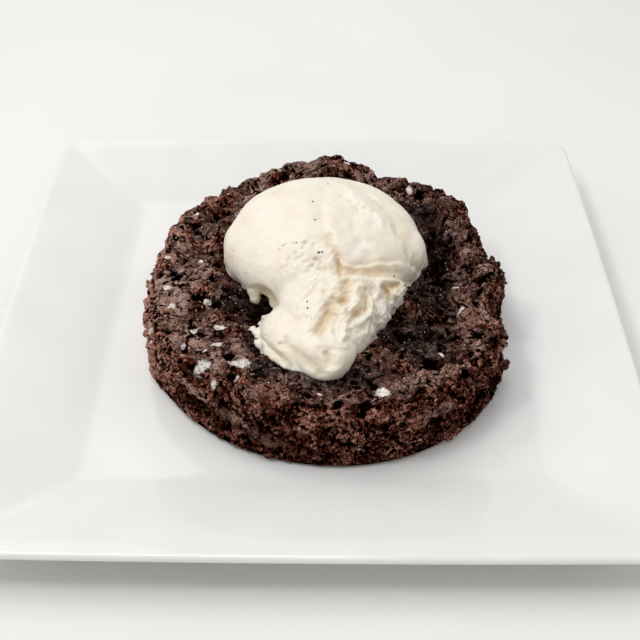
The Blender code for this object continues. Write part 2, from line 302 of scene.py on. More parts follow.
def makePlate(s):
    half = s["side"] / 2
    bm = bmesh.new()
    bmesh.ops.create_grid(bm, x_segments=1, y_segments=1, size=half)
    bmesh.ops.bevel(bm, geom=bm.verts[:], offset=s["corner"], segments=s["cornerSteps"], profile=0.5,
                    affect="VERTICES", material=-1)
    sides = [e for e in bm.edges if e.calc_length() > half]
    bmesh.ops.subdivide_edges(bm, edges=sides, cuts=s["sideCuts"])
    for vert in bm.verts:
        along, across = sorted((abs(vert.co.x), abs(vert.co.y)))
        swell = 1 + s["bow"] / half * max(0.0, 1 - (along / (half - s["corner"])) ** 2)
        if across > half - 0.01 * mm:
            if abs(vert.co.x) > abs(vert.co.y):
                vert.co.x *= swell
            else:
                vert.co.y *= swell
    # one ring after another: the face is inset for the first, and its edge is drawn out for the rest
    rings = plateRings(s)
    face = bm.faces[:][0]
    outline = [v.co.copy() for v in face.verts]
    for vert, at in zip(face.verts, outline):
        vert.co = Vector((at.x * rings[0][0] / half, at.y * rings[0][0] / half, rings[0][1]))
    edge = list(face.edges)
    for size, height in rings[1:]:
        made = bmesh.ops.extrude_edge_only(bm, edges=edge)["geom"]
        verts = [g for g in made if isinstance(g, bmesh.types.BMVert)]
        edge = [g for g in made if isinstance(g, bmesh.types.BMEdge)]
        grow = size / max(abs(v.co.x) for v in verts) * (1 + s["bow"] / half)
        for vert in verts:
            vert.co = Vector((vert.co.x * grow, vert.co.y * grow, height))
    bmesh.ops.holes_fill(bm, edges=edge, sides=0)
    bmesh.ops.recalc_face_normals(bm, faces=bm.faces[:])
    return bm


def porcelainMaterial(s):
    # hard white porcelain under a clear glaze: mirror-like but soft at the edges, with a faint wave in the
    # glaze and a bare ground foot ring
    material, add, shader, where = newMaterial("glazed porcelain", {
        "IOR": 1.5, "Coat Weight": 0.35, "Coat Roughness": 0.05, "Coat IOR": 1.5})
    height = add("SeparateXYZ", links={"Vector": where}).outputs["Z"]
    bare = add("MapRange", {"From Min": 0.2 * mm, "From Max": 0.6 * mm, "To Min": 1.0, "To Max": 0.0},
               {"Value": height})
    wave = add("TexNoise", {"Scale": 1 / (22 * mm), "Detail": 1.0}, {"Vector": where})
    gloss = add("MapRange", {"From Min": 0.35, "From Max": 0.65, "To Min": 0.10, "To Max": 0.16},
                {"Value": wave})
    rough = add("Math", {"operation": "MULTIPLY_ADD", 1: 0.6}, {0: bare, 2: gloss})
    tone = add("ValToRGB", {"stops": [(0.3, s["glaze"]), (0.7, s["glazeThick"])]}, {"Fac": wave})
    fired = add("Mix", {"data_type": "RGBA", colourB: s["bareClay"]}, {mixShare: bare, colourA: tone})
    bump = add("Bump", {"Strength": 0.25, "Distance": 0.08 * mm}, {"Height": wave})
    linkInputs(shader, {"Roughness": rough, "Base Color": fired, "Normal": bump})
    return material


addPiece("dessert_plate", makePlate(plateSettings), porcelainMaterial(plateSettings), "plate")
report("plate made")


# Cake

cakeSettings = {
    "centre": Vector((6.0, -2.7, 8.3)) * mm,
    "radius": 60.8 * mm,
    "crestRadius": 54.5 * mm,
    "crestHeight": 27.5 * mm,
    "middleHeight": 20.5 * mm,
    "wedges": 17,
    "stepsInWedge": 50,
    "wallRow": 0.49 * mm,  # rows of faces down the wall are this high
    "bend": (6, 1.6, 2.4, 0.7),  # the relief wavers: size and reach in mm of a slow and a quick bend
    "fine": 1.3 * mm,
    "pitless": (0.12, 0.25),  # share of places without a large or a small pit
    "seed": Vector((3.7, 1.9, 5.3)),
    # size across and height of each kind of relief
    "swell": (24 * mm, 1.2 * mm),
    "lump": (7.8 * mm, 2.6 * mm),
    "grain": (1.75 * mm, 1.1 * mm),
    "pit": (4.8 * mm, 2.6 * mm),
    "smallPit": (2.4 * mm, 1.3 * mm),
}

# where the crest is worn, broken or raised: azimuth and half width in degrees, change of radius and of
# height in mm
crestWear = [
    (13, 8, -6.6, -3.0), (-19, 6, -4.4, -1.0), (-2, 6, 2.2, 0.6), (27, 8, -2.0, -0.6), (42, 5, 0.8, 1.2),
    (54, 9, 1.5, 0.4), (68, 9, -0.8, -1.2), (89.5, 12, 1.4, 4.8), (106, 7, 0.4, 1.8), (120, 9, 0.7, 0.3),
    (134, 7, 0.4, 0.0), (150, 8, 1.0, 0.4), (170, 16, -1.0, -0.8), (215, 26, 0.8, -1.8),
    (262, 24, -0.2, -3.0), (300, 18, 1.2, -1.4), (330, 14, 1.0, 0.4),
]

# where the whole wall stands in or out: azimuth, half width, change of radius in mm
wallWear = [(-8, 15, -6.2), (25, 9, -1.2), (165, 14, -0.6), (202, 8, 1.6), (292, 28, 0.8)]

# pits in the top: x and y from the cake's centre, radius and depth, all in mm
topPits = [
    (38.5, 22, 6.5, 5), (37.5, 3, 7.5, 6), (27, -27.5, 6, 3), (-21.5, -16.5, 8, 3.5), (-20, -34.5, 5.5, 2.5),
    (-44, 16, 4.5, 2.2), (21, -52, 2.8, 2.6), (1, -49, 6.5, 2.2), (12, -51, 4, 1.8), (-31, 8, 5, 2.0),
    (30, 40, 5, 2.2), (-8, 50, 6, 1.6), (-40, -18, 4, 1.4), (35, 26, 3.5, 3), (21, -19.5, 4.5, 3),
    (34.5, -20, 5, 3), (17, -28, 4, 2.5), (43, 16, 3, 2.4), (-45.5, -36.0, 3.2, 2.8),
]

# cracks in the top: places along each in mm from the cake's centre, reach and depth
topCracks = [
    ([(39.6, -36.1), (32, -38.5), (24.4, -41.4)], 0.9, 2.2),
    ([(-52, -30), (-46.4, -38.1), (-40, -42)], 0.9, 1.6),
    ([(-30, 34), (-38, 30), (-44, 22)], 0.8, 1.6),
    ([(8, 46), (18, 45), (26, 41)], 0.8, 1.6),
    ([(44, 14), (49, 6), (46, -6)], 1.0, 1.6),
    ([(-24, -44), (-18, -49), (-8, -53)], 0.8, 1.6),
    ([(-36, -8), (-43, -4), (-50, -6)], 0.7, 1.4),
]

# crusts and pieces of crumb that stand out of the side: azimuth, height above the plate and size in mm
wallChunks = [
    (4, 25.0, 2.2), (-2, 24.0, 2.0), (-19, 15.5, 1.6), (-26, 10.0, 2.1),
    (-52, 2.6, 1.8), (-55, 1.8, 1.5), (176, 15.0, 1.6),
    (196, 12.0, 1.6), (205, 8.0, 1.5), (231, 4.0, 1.6), (252, 2.2, 1.7), (80, 12.0, 1.8), (140, 9.0, 1.7),
]

# smooth smears of crust that ran down the side while it baked: azimuth, height, half widths in mm
wallSkins = [
    (243, 13.0, 9.0, 3.4), (252, 8.5, 7.0, 2.6), (228, 17.0, 6.0, 2.6), (300, 18.0, 7.0, 2.6),
    (120, 12.0, 8.0, 3.0),
]

# where the crust stayed whole and smooth: x and y from the cake's centre, half widths in mm
wholePlaces = [
    (25, -53, 7, 4.5), (31.7, -41.3, 6.5, 5), (-37, 2, 6, 7), (-46, -4, 4, 4), (-36, 22, 5, 6),
    (-25, 32, 6, 4), (-12, -52, 8, 3), (44, 0, 5, 5), (43, 20, 3.5, 5),
]

# where melted ice cream has soaked in: x and y from the cake's centre, half widths in mm, how wet from 0 to 1
soakedPlaces = [
    (-28, -14, 9, 10, 0.8), (-20.5, -17, 6, 9, 0.95), (-22, -31, 6, 8, 0.88), (-16, -43.5, 10, 4.5, 0.88),
    (2, -46.8, 16, 5.2, 0.8), (26, -29, 11, 13, 0.82), (36, -8, 9, 14, 0.84), (37, 14, 9, 12, 0.9),
    (-29, 2, 5, 12, 0.38), (26, 30, 10, 8, 0.9), (-2, 33, 24, 5, 1.0),
]

# sugar that lay on the crust as it baked: x and y from the plate's middle, length and width in mm, heading
# in degrees
sugarSpots = [
    (-21.1, -45.9, 5.8, 3.6, 20), (-32.2, -45.5, 4.8, 3.2, -10), (20.3, -56.0, 3.8, 3.0, -25),
    (-28.4, -37.5, 3.2, 2.4, 10), (-28.1, -29.6, 3.6, 1.8, -15), (-45.8, -13.0, 2.4, 1.8, 0),
    (-43.4, -21.8, 2.2, 2.0, 30), (-32.9, -17.7, 2.4, 2.0, 60), (-35.9, -30.8, 2.4, 1.5, -20),
    (-36.4, 0.8, 1.8, 1.4, 80), (-40.1, 24.4, 1.8, 1.4, 0), (33.5, 41.4, 3.0, 1.6, -60),
    (11.6, 52.0, 2.0, 1.4, 10), (45.2, -11.2, 2.6, 1.5, 40), (45.6, -23.2, 1.9, 1.5, 30),
    (-28.4, -51.0, 1.9, 1.4, 90), (-47.1, 0.4, 1.9, 1.3, 0), (-31.5, -40.8, 1.6, 1.0, 0),
    (-38.6, -36.4, 1.5, 1.0, 40), (-49.4, -29.0, 1.4, 1.0, 0), (-21.6, -51.2, 1.6, 1.1, 15),
    (2.4, -56.4, 1.5, 1.0, 0), (38.2, -41.6, 1.6, 1.0, -30), (-30.0, 37.2, 1.6, 1.2, 30),
    (-12.4, 48.6, 1.5, 1.0, 0), (27.1, 49.8, 3.4, 1.6, -40),
]

# paler smears of batter on the crust: x and y from the cake's centre, half widths in mm, heading in degrees
paleSmears = [
    (-17.5, -52.6, 6.5, 2.2, -14), (-21, 55, 7.5, 2.4, 20), (26, 54.5, 6.5, 2.2, -34), (27, -55, 4, 2, 10),
    (44, -22, 5, 2.4, 75),
]


def turnTo(azimuth, middle):
    # degrees from a middle to an azimuth, the short way round
    return (azimuth - middle + 180) % 360 - 180


def wearAt(azimuth, wear):
    # the changes that a list of worn places makes at an azimuth, in mm
    total = [0.0] * (len(wear[0]) - 2)
    for middle, halfWidth, *changes in wear:
        away = turnTo(azimuth, middle) / halfWidth
        weight = math.exp(-away * away)
        for i, change in enumerate(changes):
            total[i] += weight * change
    return total


def cakeLine(s):
    # radius and height down one side of the cake, in even steps for each stretch, wide under the ice cream
    crest, top, low, radius = s["crestRadius"], s["crestHeight"], s["middleHeight"], s["radius"]
    fineStart, fineRows = 29 * mm, 43

    def topPoint(r):
        return r, low + (top - low) * smoothStep(0.25, 1.0, r / crest)

    points = [topPoint(r * mm) for r in (0, 10, 18)]
    points += [topPoint((20 + i * 1.5) * mm) for i in range(6)]
    points += [topPoint(fineStart + (crest - fineStart) * i / fineRows) for i in range(fineRows)]
    corners = [(crest, top), (crest + 2.4 * mm, top - 1.0 * mm), (crest + 4.4 * mm, top - 3.4 * mm),
               (radius - 0.8 * mm, top - 6.6 * mm), (radius, 1.2 * mm), (radius - 0.6 * mm, 0.3 * mm)]
    for (r0, z0), (r1, z1) in zip(corners, corners[1:]):
        steps = max(1, round(math.hypot(r1 - r0, z1 - z0) / s["wallRow"]))
        points += [(r0 + (r1 - r0) * i / steps, z0 + (z1 - z0) * i / steps) for i in range(steps)]
    foot = [corners[-1], (radius - 2 * mm, 0.0), (radius * 0.8, 0.0), (radius * 0.4, 0.0), (0.0, 0.0)]
    return points + foot


def pitAt(sample, size, rarest):
    # how deep in a pit a place is, from 0 to 1; each cell of the pattern has a pit of its own size, or none
    away, middles = noise.voronoi(sample / size)
    luck = noise.cell(middles[0] * 9.1)
    if luck < rarest:
        return 0.0
    reach = 0.24 + 0.30 * luck
    return 1 - smoothStep(0.4 * reach, reach, away[0])


def cakeRelief(place, crumbly, azimuth, s):
    # height of the broken crust in metres, and how far a place is from the bottom of its hollow, 0 to 1
    # the right side fell apart more
    broken = 0.55 + 0.45 * smoothStep(-0.1, 0.8, math.cos(math.radians(azimuth - 10)))
    sample = place + s["seed"]
    kinds = [s[name] for name in ("swell", "lump", "grain", "pit", "smallPit")]
    (swellSize, swellHeight), (lumpSize, lumpHeight), (grainSize, grainHeight) = kinds[:3]
    (pitSize, pitDepth), (smallPitSize, smallPitDepth) = kinds[3:]
    swell = noise.fractal(sample / swellSize, 0.9, 2.1, 2)
    slowSize, slowReach, quickSize, quickReach = s["bend"]
    bent = sample + noise.noise_vector(sample / (slowSize * mm)) * slowReach * mm
    near = noise.voronoi(bent / lumpSize)[0]
    lump = min(1.0, (near[1] - near[0]) * 2.2) - 0.6
    warped = sample + noise.noise_vector(sample / (quickSize * mm)) * quickReach * mm
    grainNear = noise.voronoi(warped / grainSize)[0]
    grain = math.sqrt(max(0.0, 1 - (grainNear[0] / 0.80) ** 2)) - 0.6
    pit = pitAt(warped, pitSize, s["pitless"][0])
    smallPit = pitAt(warped + Vector((0.031, 0.017, 0.043)), smallPitSize, s["pitless"][1])
    fine = noise.fractal(sample / s["fine"], 0.8, 2.0, 2)
    height = swellHeight * swell + lumpHeight * lump * broken
    height += grainHeight * grain * (0.22 + 0.78 * crumbly) + fine * (0.16 + 0.16 * crumbly) * mm
    sunk = pitDepth * pit * (0.6 + 0.4 * crumbly) * broken
    height -= sunk + smallPitDepth * smallPit * (0.45 + 0.55 * crumbly)
    openness = 0.62 + 0.40 * grain * (0.4 + 0.6 * crumbly) + 0.24 * lump
    return height, openness - 0.7 * pit - 0.5 * smallPit + 0.2 * fine


def ovalAway(x, y, oval):
    # 0 in the middle of an oval, 1 on its edge
    middleX, middleY, halfX, halfY = oval[:4]
    return math.hypot((x - middleX) / halfX, (y - middleY) / halfY)


def crumblyAt(place, onTop):
    # how much of the crust has gone, so that the open crumb shows
    patch = noise.fractal(place / (11 * mm) + Vector((8.1, 2.2, 0.4)), 0.8, 2.0, 3)
    if onTop:
        gone = smoothStep(-0.1, 0.55, patch)
        for oval in wholePlaces:
            gone *= smoothStep(0.7, 1.2, ovalAway(place.x / mm, place.y / mm, oval) + 0.5 * patch)
        return gone
    return 1 - 0.6 * smoothStep(0.34, 0.62, patch)


def skinAt(azimuth, height):
    # how far a place on the wall is covered by a smear of smooth crust; height in mm
    best = 0.0
    for middle, level, halfWidth, halfHeight in wallSkins:
        along = turnTo(azimuth, middle) * 1.05 / halfWidth
        across = (height - level + 0.18 * along * halfWidth) / halfHeight
        ragged = 0.35 * noise.noise(Vector((azimuth * 0.35, height * 0.4, 3.1)))
        best = max(best, 1 - smoothStep(0.6, 1.0, math.hypot(along, across) + ragged))
    return best


def crackDepth(x, y):
    # x and y in mm from the cake's centre
    depth = 0.0
    for points, reach, deepest in topCracks:
        for start, end in zip(points, points[1:]):
            run = Vector(end) - Vector(start)
            offset = Vector((x, y)) - Vector(start)
            share = min(1.0, max(0.0, offset.dot(run) / run.length_squared))
            away = (offset - run * share).length / reach
            depth = max(depth, deepest * math.exp(-away * away))
    return depth


def soakedAt(x, y):
    return max(oval[4] * (1 - smoothStep(0.55, 1.25, ovalAway(x, y, oval))) for oval in soakedPlaces)


def sugarAt(x, y):
    # x and y in mm from the plate's middle: 1 in the middle of a spot, 0 a little outside it
    best, farthest = 0.0, 5
    for spotX, spotY, length, width, heading in sugarSpots:
        along, across = x - spotX, y - spotY
        if abs(along) > farthest or abs(across) > farthest:
            continue
        turn = math.radians(heading)
        u = (along * math.cos(turn) + across * math.sin(turn)) / (0.7 * length)
        v = (across * math.cos(turn) - along * math.sin(turn)) / (0.7 * width)
        best = max(best, 1 - smoothStep(0.35, 1.25, math.hypot(u, v)))
    return best


def paleAt(x, y):
    best = 0.0
    for smearX, smearY, length, width, heading in paleSmears:
        along = Vector((x - smearX, y - smearY)) @ Matrix.Rotation(math.radians(heading), 2)
        best = max(best, 1 - smoothStep(0.5, 1.1, math.hypot(along.x / length, along.y / width)))
    return best


def turnedBody(line, wedges, steps):
    # one wedge is spun, and copied round: a whole turn in steps this fine takes far longer
    wedge = bmesh.new()
    verts = [wedge.verts.new((radius, 0, height)) for radius, height in line]
    edges = [wedge.edges.new(pair) for pair in zip(verts, verts[1:])]
    turn = 2 * math.pi / wedges
    bmesh.ops.spin(wedge, geom=verts + edges, cent=(0, 0, 0), axis=(0, 0, 1), dvec=(0, 0, 0),
                   angle=turn, steps=steps, use_merge=False, use_duplicate=False)
    scratch = bpy.data.meshes.new("wedge")
    bm = bmesh.new()
    for _ in range(wedges):
        wedge.to_mesh(scratch)
        bm.from_mesh(scratch)
        bmesh.ops.rotate(wedge, cent=(0, 0, 0), matrix=Matrix.Rotation(turn, 3, "Z"), verts=wedge.verts[:])
    wedge.free()
    bpy.data.meshes.remove(scratch)
    bmesh.ops.remove_doubles(bm, verts=bm.verts[:], dist=0.01 * mm)
    bmesh.ops.recalc_face_normals(bm, faces=bm.faces[:])
    return bm


def makeCake(s):
    bm = turnedBody(cakeLine(s), s["wedges"], s["stepsInWedge"])
    bm.normal_update()
    marks = {"openness": [], "soaked": [], "crust": [], "sugar": [], "pale": []}
    places = []
    for vert in bm.verts:
        at = vert.co
        radius = math.hypot(at.x, at.y)
        azimuth = math.degrees(math.atan2(at.y, at.x)) % 360
        share = radius / s["crestRadius"]
        height = at.z / s["crestHeight"]
        outwards = Vector((at.x, at.y, 0)) / radius if radius > 0 else Vector()
        out, up = wearAt(azimuth, crestWear)
        stand = wearAt(azimuth, wallWear)[0]
        # wear fades away inwards, and that of the crest also downwards
        atCrest = smoothStep(0.62, 0.95, share) * smoothStep(0.25, 0.9, height)
        atWall = smoothStep(0.5, 0.95, share)
        place = at + outwards * (out * atCrest + stand * atWall) * mm
        place.z += up * atCrest * mm
        level = vert.normal.z  # 1 where the surface lies flat, 0 on the wall
        onTop = height > 0.5 and level > 0.75
        crumbly = crumblyAt(at, onTop)
        skin = 0.0 if onTop or share < 1 else skinAt(azimuth, at.z / mm)
        relief, openness = cakeRelief(at, crumbly * (1 - 0.9 * skin), azimuth, s)
        if skin > 0:
            relief = relief * (1 - 0.8 * skin) + 0.9 * mm * skin
            openness += (0.8 - openness) * skin
        bare = smoothStep(0.26, 0.42, share) if height > 0.5 else 1.0
        place += vert.normal * relief * bare * smoothStep(0.0, 0.16, height)
        soaked = sugar = pale = 0.0
        if height > 0.5:
            x, y = at.x / mm, at.y / mm
            # pits and cracks sink the crust and lower its openness, which the crumb's material paints as
            # shade
            for pitX, pitY, size, depth in topPits:
                sunk = depth * math.exp(-(math.hypot(x - pitX, y - pitY) / size) ** 2)
                place.z -= sunk * mm
                openness -= 0.07 * sunk
            crack = crackDepth(x + 1.2 * relief / mm, y - 1.2 * relief / mm) * smoothStep(0.5, 0.7, level)
            place.z -= crack * mm
            openness -= 0.25 * crack
            soaked = soakedAt(x, y) * smoothStep(0.5, 0.8, level)
            pale = paleAt(x, y)
            sugar = sugarAt((place.x + s["centre"].x) / mm, (place.y + s["centre"].y) / mm)
        crust = max(skin, pale, (1 - crumbly) * smoothStep(0.2, 0.7, level))
        places.append(place + s["centre"])
        for values, value in zip(marks.values(), (openness, soaked, crust, sugar, pale)):
            values.append(value)
    for vert, place in zip(bm.verts, places):
        vert.co = place
    mesh = meshFrom(bm, "chocolate_cake")
    for name, values in marks.items():
        storeValues(mesh, name, values)
    return mesh


crumbLook = {
    # size across of each pattern
    "web": 1.5 * mm,
    "coarseWeb": 3.4 * mm,
    "grit": 0.55 * mm,
    "film": 1.0 * mm,
    "patch": 8 * mm,
    "gap": 2.8 * mm,
    "crease": 8 * mm,
    # tones from the thin places of a pattern to its thick ones
    "looseTones": [(0.36, "#2b0d05"), (0.5, "#663729"), (0.64, "#c0917f")],
    "crumbTones": [(0.4, "#220802"), (0.54, "#653426"), (0.66, "#b98473")],
    "satinTones": [(0.38, "#43291f"), (0.5, "#6b4a3d"), (0.6, "#a38478")],
    # painted shade: pores, the bottoms of hollows, and the crust's gaps and cracks are made almost black
    "poreShade": "#060100",
    "crack": "#070100",
    "crackRim": "#4c2418",
    "smear": "#8d5d48",
    "soaked": "#0d0402",
    "sugar": "#efe6df",
}


def crustParts(s, add, where, web, grit, mottled, colour, film):
    # what sets the baked surface apart from loose crumb: its colour, roughness, coat and height
    openness, soaked, crust, sugar, pale = [add("Attribute", {"attribute_name": name}).outputs["Fac"]
                                            for name in ("openness", "soaked", "crust", "sugar", "pale")]
    # pores, painted black as shade: where the web is thin, more of them where a coarser web is thin too
    coarseWeb = add("TexNoise", {"Scale": 1 / s["coarseWeb"], "Detail": 2.0, "Distortion": 0.7},
                    {"Vector": where})
    both = add("Math", {"operation": "MULTIPLY_ADD", 1: 0.55}, {0: coarseWeb, 2: web})
    thick = add("MapRange", {"From Min": 0.68, "From Max": 0.84, "interpolation_type": "SMOOTHSTEP"},
                {"Value": both})
    crumb = add("Mix", {"data_type": "RGBA", colourA: s["poreShade"]}, {mixShare: thick, colourB: colour})
    # the whole crust: ragged gaps with a redder rim, and fine cracks here and there
    gap = add("TexNoise", {"Scale": 1 / s["gap"], "Detail": 3.0, "Roughness": 0.6, "Distortion": 1.3},
              {"Vector": where})
    sheet = add("MapRange", {"From Min": 0.39, "From Max": 0.45, "interpolation_type": "SMOOTHSTEP"},
                {"Value": gap})
    creased = add("TexNoise", {"Scale": 1 / s["crease"], "Detail": 3.0, "Distortion": 1.0}, {"Vector": where})
    side = add("Math", {"operation": "SUBTRACT", 1: 0.5}, {0: creased})
    away = add("Math", {"operation": "ABSOLUTE"}, {0: side})
    crease = add("MapRange", {"From Min": 0.001, "From Max": 0.009}, {"Value": away})
    whole = add("Math", {"operation": "MULTIPLY"}, {0: sheet, 1: crease})
    inner = add("MapRange", {"From Min": 0.44, "From Max": 0.53}, {"Value": gap})
    satin = add("ValToRGB", {"stops": s["satinTones"]}, {"Fac": mottled})
    plates = add("Mix", {"data_type": "RGBA", colourA: s["crackRim"]}, {mixShare: inner, colourB: satin})
    smear = add("MapRange", {"To Max": 0.75}, {"Value": pale})
    plates = add("Mix", {"data_type": "RGBA", colourB: s["smear"]}, {mixShare: smear, colourA: plates})
    # painted shade: the gaps and cracks are made almost black
    plates = add("Mix", {"data_type": "RGBA", colourA: s["crack"]}, {mixShare: whole, colourB: plates})
    cover = add("MapRange", {"From Min": 0.15, "From Max": 0.6}, {"Value": crust})
    colour = add("Mix", {"data_type": "RGBA"}, {mixShare: cover, colourA: crumb, colourB: plates})
    thick = add("Mix", {"data_type": "FLOAT"}, {mixShare: cover, valueA: thick, valueB: whole})
    # painted shade: the bottoms of the hollows are made almost black
    unshaded = add("MapRange", {"From Min": 0.08, "From Max": 0.55}, {"Value": openness})
    colour = add("Mix", {"data_type": "RGBA", colourA: s["poreShade"]}, {mixShare: unshaded, colourB: colour})
    height = add("Mix", {"data_type": "FLOAT"}, {mixShare: cover, valueA: both, valueB: whole})
    # soaked crumb is dark, and painted darker still in its hollows, as shade
    wetness = add("MapRange", {"From Max": 0.9, "To Max": 0.9}, {"Value": soaked})
    lower = add("MapRange", {"From Min": 0.45, "From Max": 1.0, "To Min": 1.0, "To Max": 0.72},
                {"Value": openness})
    wetness = add("Math", {"operation": "MULTIPLY"}, {0: wetness, 1: lower})
    colour = add("Mix", {"data_type": "RGBA", colourB: s["soaked"]}, {mixShare: wetness, colourA: colour})
    # the web's tops hold the sugar, and its edge breaks up
    cloud = add("Math", {"operation": "MULTIPLY_ADD", 1: 0.9, 2: -0.4}, {0: grit})
    held = add("Math", {"operation": "ADD"}, {0: sugar, 1: cloud})
    dried = add("MapRange", {"From Min": 0.42, "From Max": 0.85}, {"Value": held})
    present = add("Math", {"operation": "GREATER_THAN", 1: 0.02}, {0: sugar})
    white = add("Math", {"operation": "MULTIPLY"}, {0: dried, 1: present})
    colour = add("Mix", {"data_type": "RGBA", colourB: s["sugar"]}, {mixShare: white, colourA: colour})
    rough = add("MapRange", {"From Min": 0.1, "From Max": 0.9, "To Min": 0.66, "To Max": 0.45},
                {"Value": crust})
    # the crust has a satin sheen, and the film is widest round the ice cream
    satiny = add("Math", {"operation": "MULTIPLY", 1: 0.65}, {0: cover})
    wetter = add("Math", {"operation": "MAXIMUM"}, {0: soaked, 1: satiny})
    spread = add("Math", {"operation": "MULTIPLY_ADD", 1: 0.09}, {0: wetter, 2: film})
    glint = add("MapRange", {"From Min": 0.64, "From Max": 0.67}, {"Value": spread})
    for factor in (unshaded, thick):
        glint = add("Math", {"operation": "MULTIPLY"}, {0: glint, 1: factor})
    dry = add("MapRange", {"From Max": 0.9, "To Min": 0.18, "To Max": 0.1}, {"Value": soaked})
    sheen = thick
    for factor in (unshaded, cover, dry):
        sheen = add("Math", {"operation": "MULTIPLY"}, {0: sheen, 1: factor})
    coat = add("Math", {"operation": "MAXIMUM"}, {0: glint, 1: sheen})
    return colour, rough, coat, height


def crumbMaterial(name, loose, s):
    # baked flourless chocolate crumb: a brown web full of almost black pores; where the crust is whole, satin
    # plates parted by gaps and cracks; sugar dried white on it, and small glints where ice cream soaked in
    material, add, shader, where = newMaterial(name, {
        "IOR": 1.45, "Specular IOR Level": 0.0, "Coat Roughness": 0.22, "Coat IOR": 1.5})
    web = add("TexNoise", {"Scale": 1 / s["web"], "Detail": 2.0, "Roughness": 0.55, "Distortion": 0.9},
              {"Vector": where})
    grit = add("TexNoise", {"Scale": 1 / s["grit"], "Detail": 2.0, "Roughness": 0.6}, {"Vector": where})
    patch = add("TexNoise", {"Scale": 1 / s["patch"], "Detail": 3.0}, {"Vector": where})
    mottled = add("Mix", {"data_type": "FLOAT", mixShare: 0.5}, {valueA: web, valueB: grit})
    # some patches are paler; the left side is painted paler, as light, and the side's foot darker, as shade
    paler = add("MapRange", {"From Min": 0.32, "From Max": 0.68, "To Min": -0.13, "To Max": 0.13},
                {"Value": patch})
    sides = add("SeparateXYZ", links={"Vector": where})
    paintedLightLeft = add("MapRange", {"From Min": -34 * mm, "From Max": -58 * mm, "To Max": 0.24},
                    {"Value": sides.outputs["X"]})
    paintedShadeFoot = add("MapRange", {"From Min": 9 * mm, "From Max": 28 * mm, "To Min": -0.07, "To Max": 0.01},
                  {"Value": sides.outputs["Z"]})
    shift = add("Math", {"operation": "ADD"}, {0: paler, 1: paintedLightLeft})
    shift = add("Math", {"operation": "ADD"}, {0: shift, 1: paintedShadeFoot})
    mottled = add("Math", {"operation": "ADD"}, {0: mottled, 1: shift})
    colour = add("ValToRGB", {"stops": s["looseTones"] if loose else s["crumbTones"]}, {"Fac": mottled})
    # a film of syrup and fat shines in small patches
    film = add("TexNoise", {"Scale": 1 / s["film"], "Detail": 1.0}, {"Vector": where})
    if loose:
        shader.inputs["Roughness"].default_value = 0.62
        coat = add("MapRange", {"From Min": 0.57, "From Max": 0.61}, {"Value": film})
        height = web
    else:
        colour, rough, coat, height = crustParts(s, add, where, web, grit, mottled, colour, film)
        linkInputs(shader, {"Roughness": rough})
    coarse = add("Bump", {"Strength": 1.0, "Distance": 1.2 * mm}, {"Height": height})
    fine = add("Bump", {"Strength": 1.0, "Distance": 0.45 * mm}, {"Height": grit, "Normal": coarse})
    # the film lies smooth over the grit and bridges the pores, so that its glints are as wide as the lumps
    bridged = add("Bump", {"Strength": 0.6, "Distance": 0.6 * mm}, {"Height": web})
    rippled = add("Bump", {"Strength": 0.6, "Distance": 0.3 * mm}, {"Height": grit, "Normal": bridged})
    linkInputs(shader, {"Coat Weight": coat, "Base Color": colour, "Normal": fine, "Coat Normal": rippled})
    return material


cakeMesh = makeCake(cakeSettings)
addPiece("chocolate_cake", cakeMesh, crumbMaterial("baked chocolate crumb", False, crumbLook),
         "cake")
cakeSurface = surfaceOf(cakeMesh)
opennessAt = np.zeros(len(cakeMesh.vertices), np.float32)
cakeMesh.attributes["openness"].data.foreach_get("value", opennessAt)
firstCorner = [p.vertices[0] for p in cakeMesh.polygons]
report("cake made")


# Loose crumb on the cake

crumbSettings = {
    "shapes": 10,
    "wallStep": 1.35 * mm,
    "topStep": 1.7 * mm,
    "wallTop": 26 * mm,
    "topReach": 58 * mm,  # radii between which crumbs lie on the top
    "topStart": 24 * mm,
    "wallSize": (0.48, 1.05),  # radii in mm
    "topSize": (0.25, 0.62),
    "chunkBits": 7,
    "shut": 0.34,  # openness below which a pit stays free of crumbs
    "seed": 41,
}


def crumbShapes(count, rng):
    # small uneven lumps of 20 faces each
    shapes = []
    for _ in range(count):
        bm = bmesh.new()
        bmesh.ops.create_icosphere(bm, subdivisions=1, radius=1.0)
        shift = Vector([rng.uniform(-50, 50) for _ in range(3)])
        for vert in bm.verts:
            direction = vert.co.normalized()
            vert.co = direction * (1 + 0.55 * noise.noise(direction * 1.7 + shift))
        bmesh.ops.recalc_face_normals(bm, faces=bm.faces[:])
        shapes.append(meshFrom(bm, "crumb shape"))
    return shapes


def scatterShapes(shapes, places):
    # joins a copy of a shape at each place; small groups are joined first, which is quicker
    whole = bmesh.new()
    groupSize = 120
    for start in range(0, len(places), groupSize):
        group = bmesh.new()
        for index, matrix in places[start:start + groupSize]:
            first = len(group.verts)
            group.from_mesh(shapes[index])
            group.verts.ensure_lookup_table()
            bmesh.ops.transform(group, matrix=matrix, verts=group.verts[first:])
        scratch = meshFrom(group, "scratch")
        whole.from_mesh(scratch)
        bpy.data.meshes.remove(scratch)
    return whole


def crumbAt(place, normal, radius, kinds, rng):
    # which of the first few shapes it is, and how it lies
    kind = rng.randrange(kinds)
    lie = normal.to_track_quat("Z", "Y").to_matrix().to_4x4()
    turn = Euler([rng.uniform(0, 6.28) for _ in range(3)]).to_matrix().to_4x4()
    size = [radius * rng.uniform(0.75, 1.3), radius * rng.uniform(0.75, 1.2), radius * rng.uniform(0.6, 1.0)]
    return kind, Matrix.Translation(place) @ lie @ Matrix.Diagonal((*size, 1)) @ turn


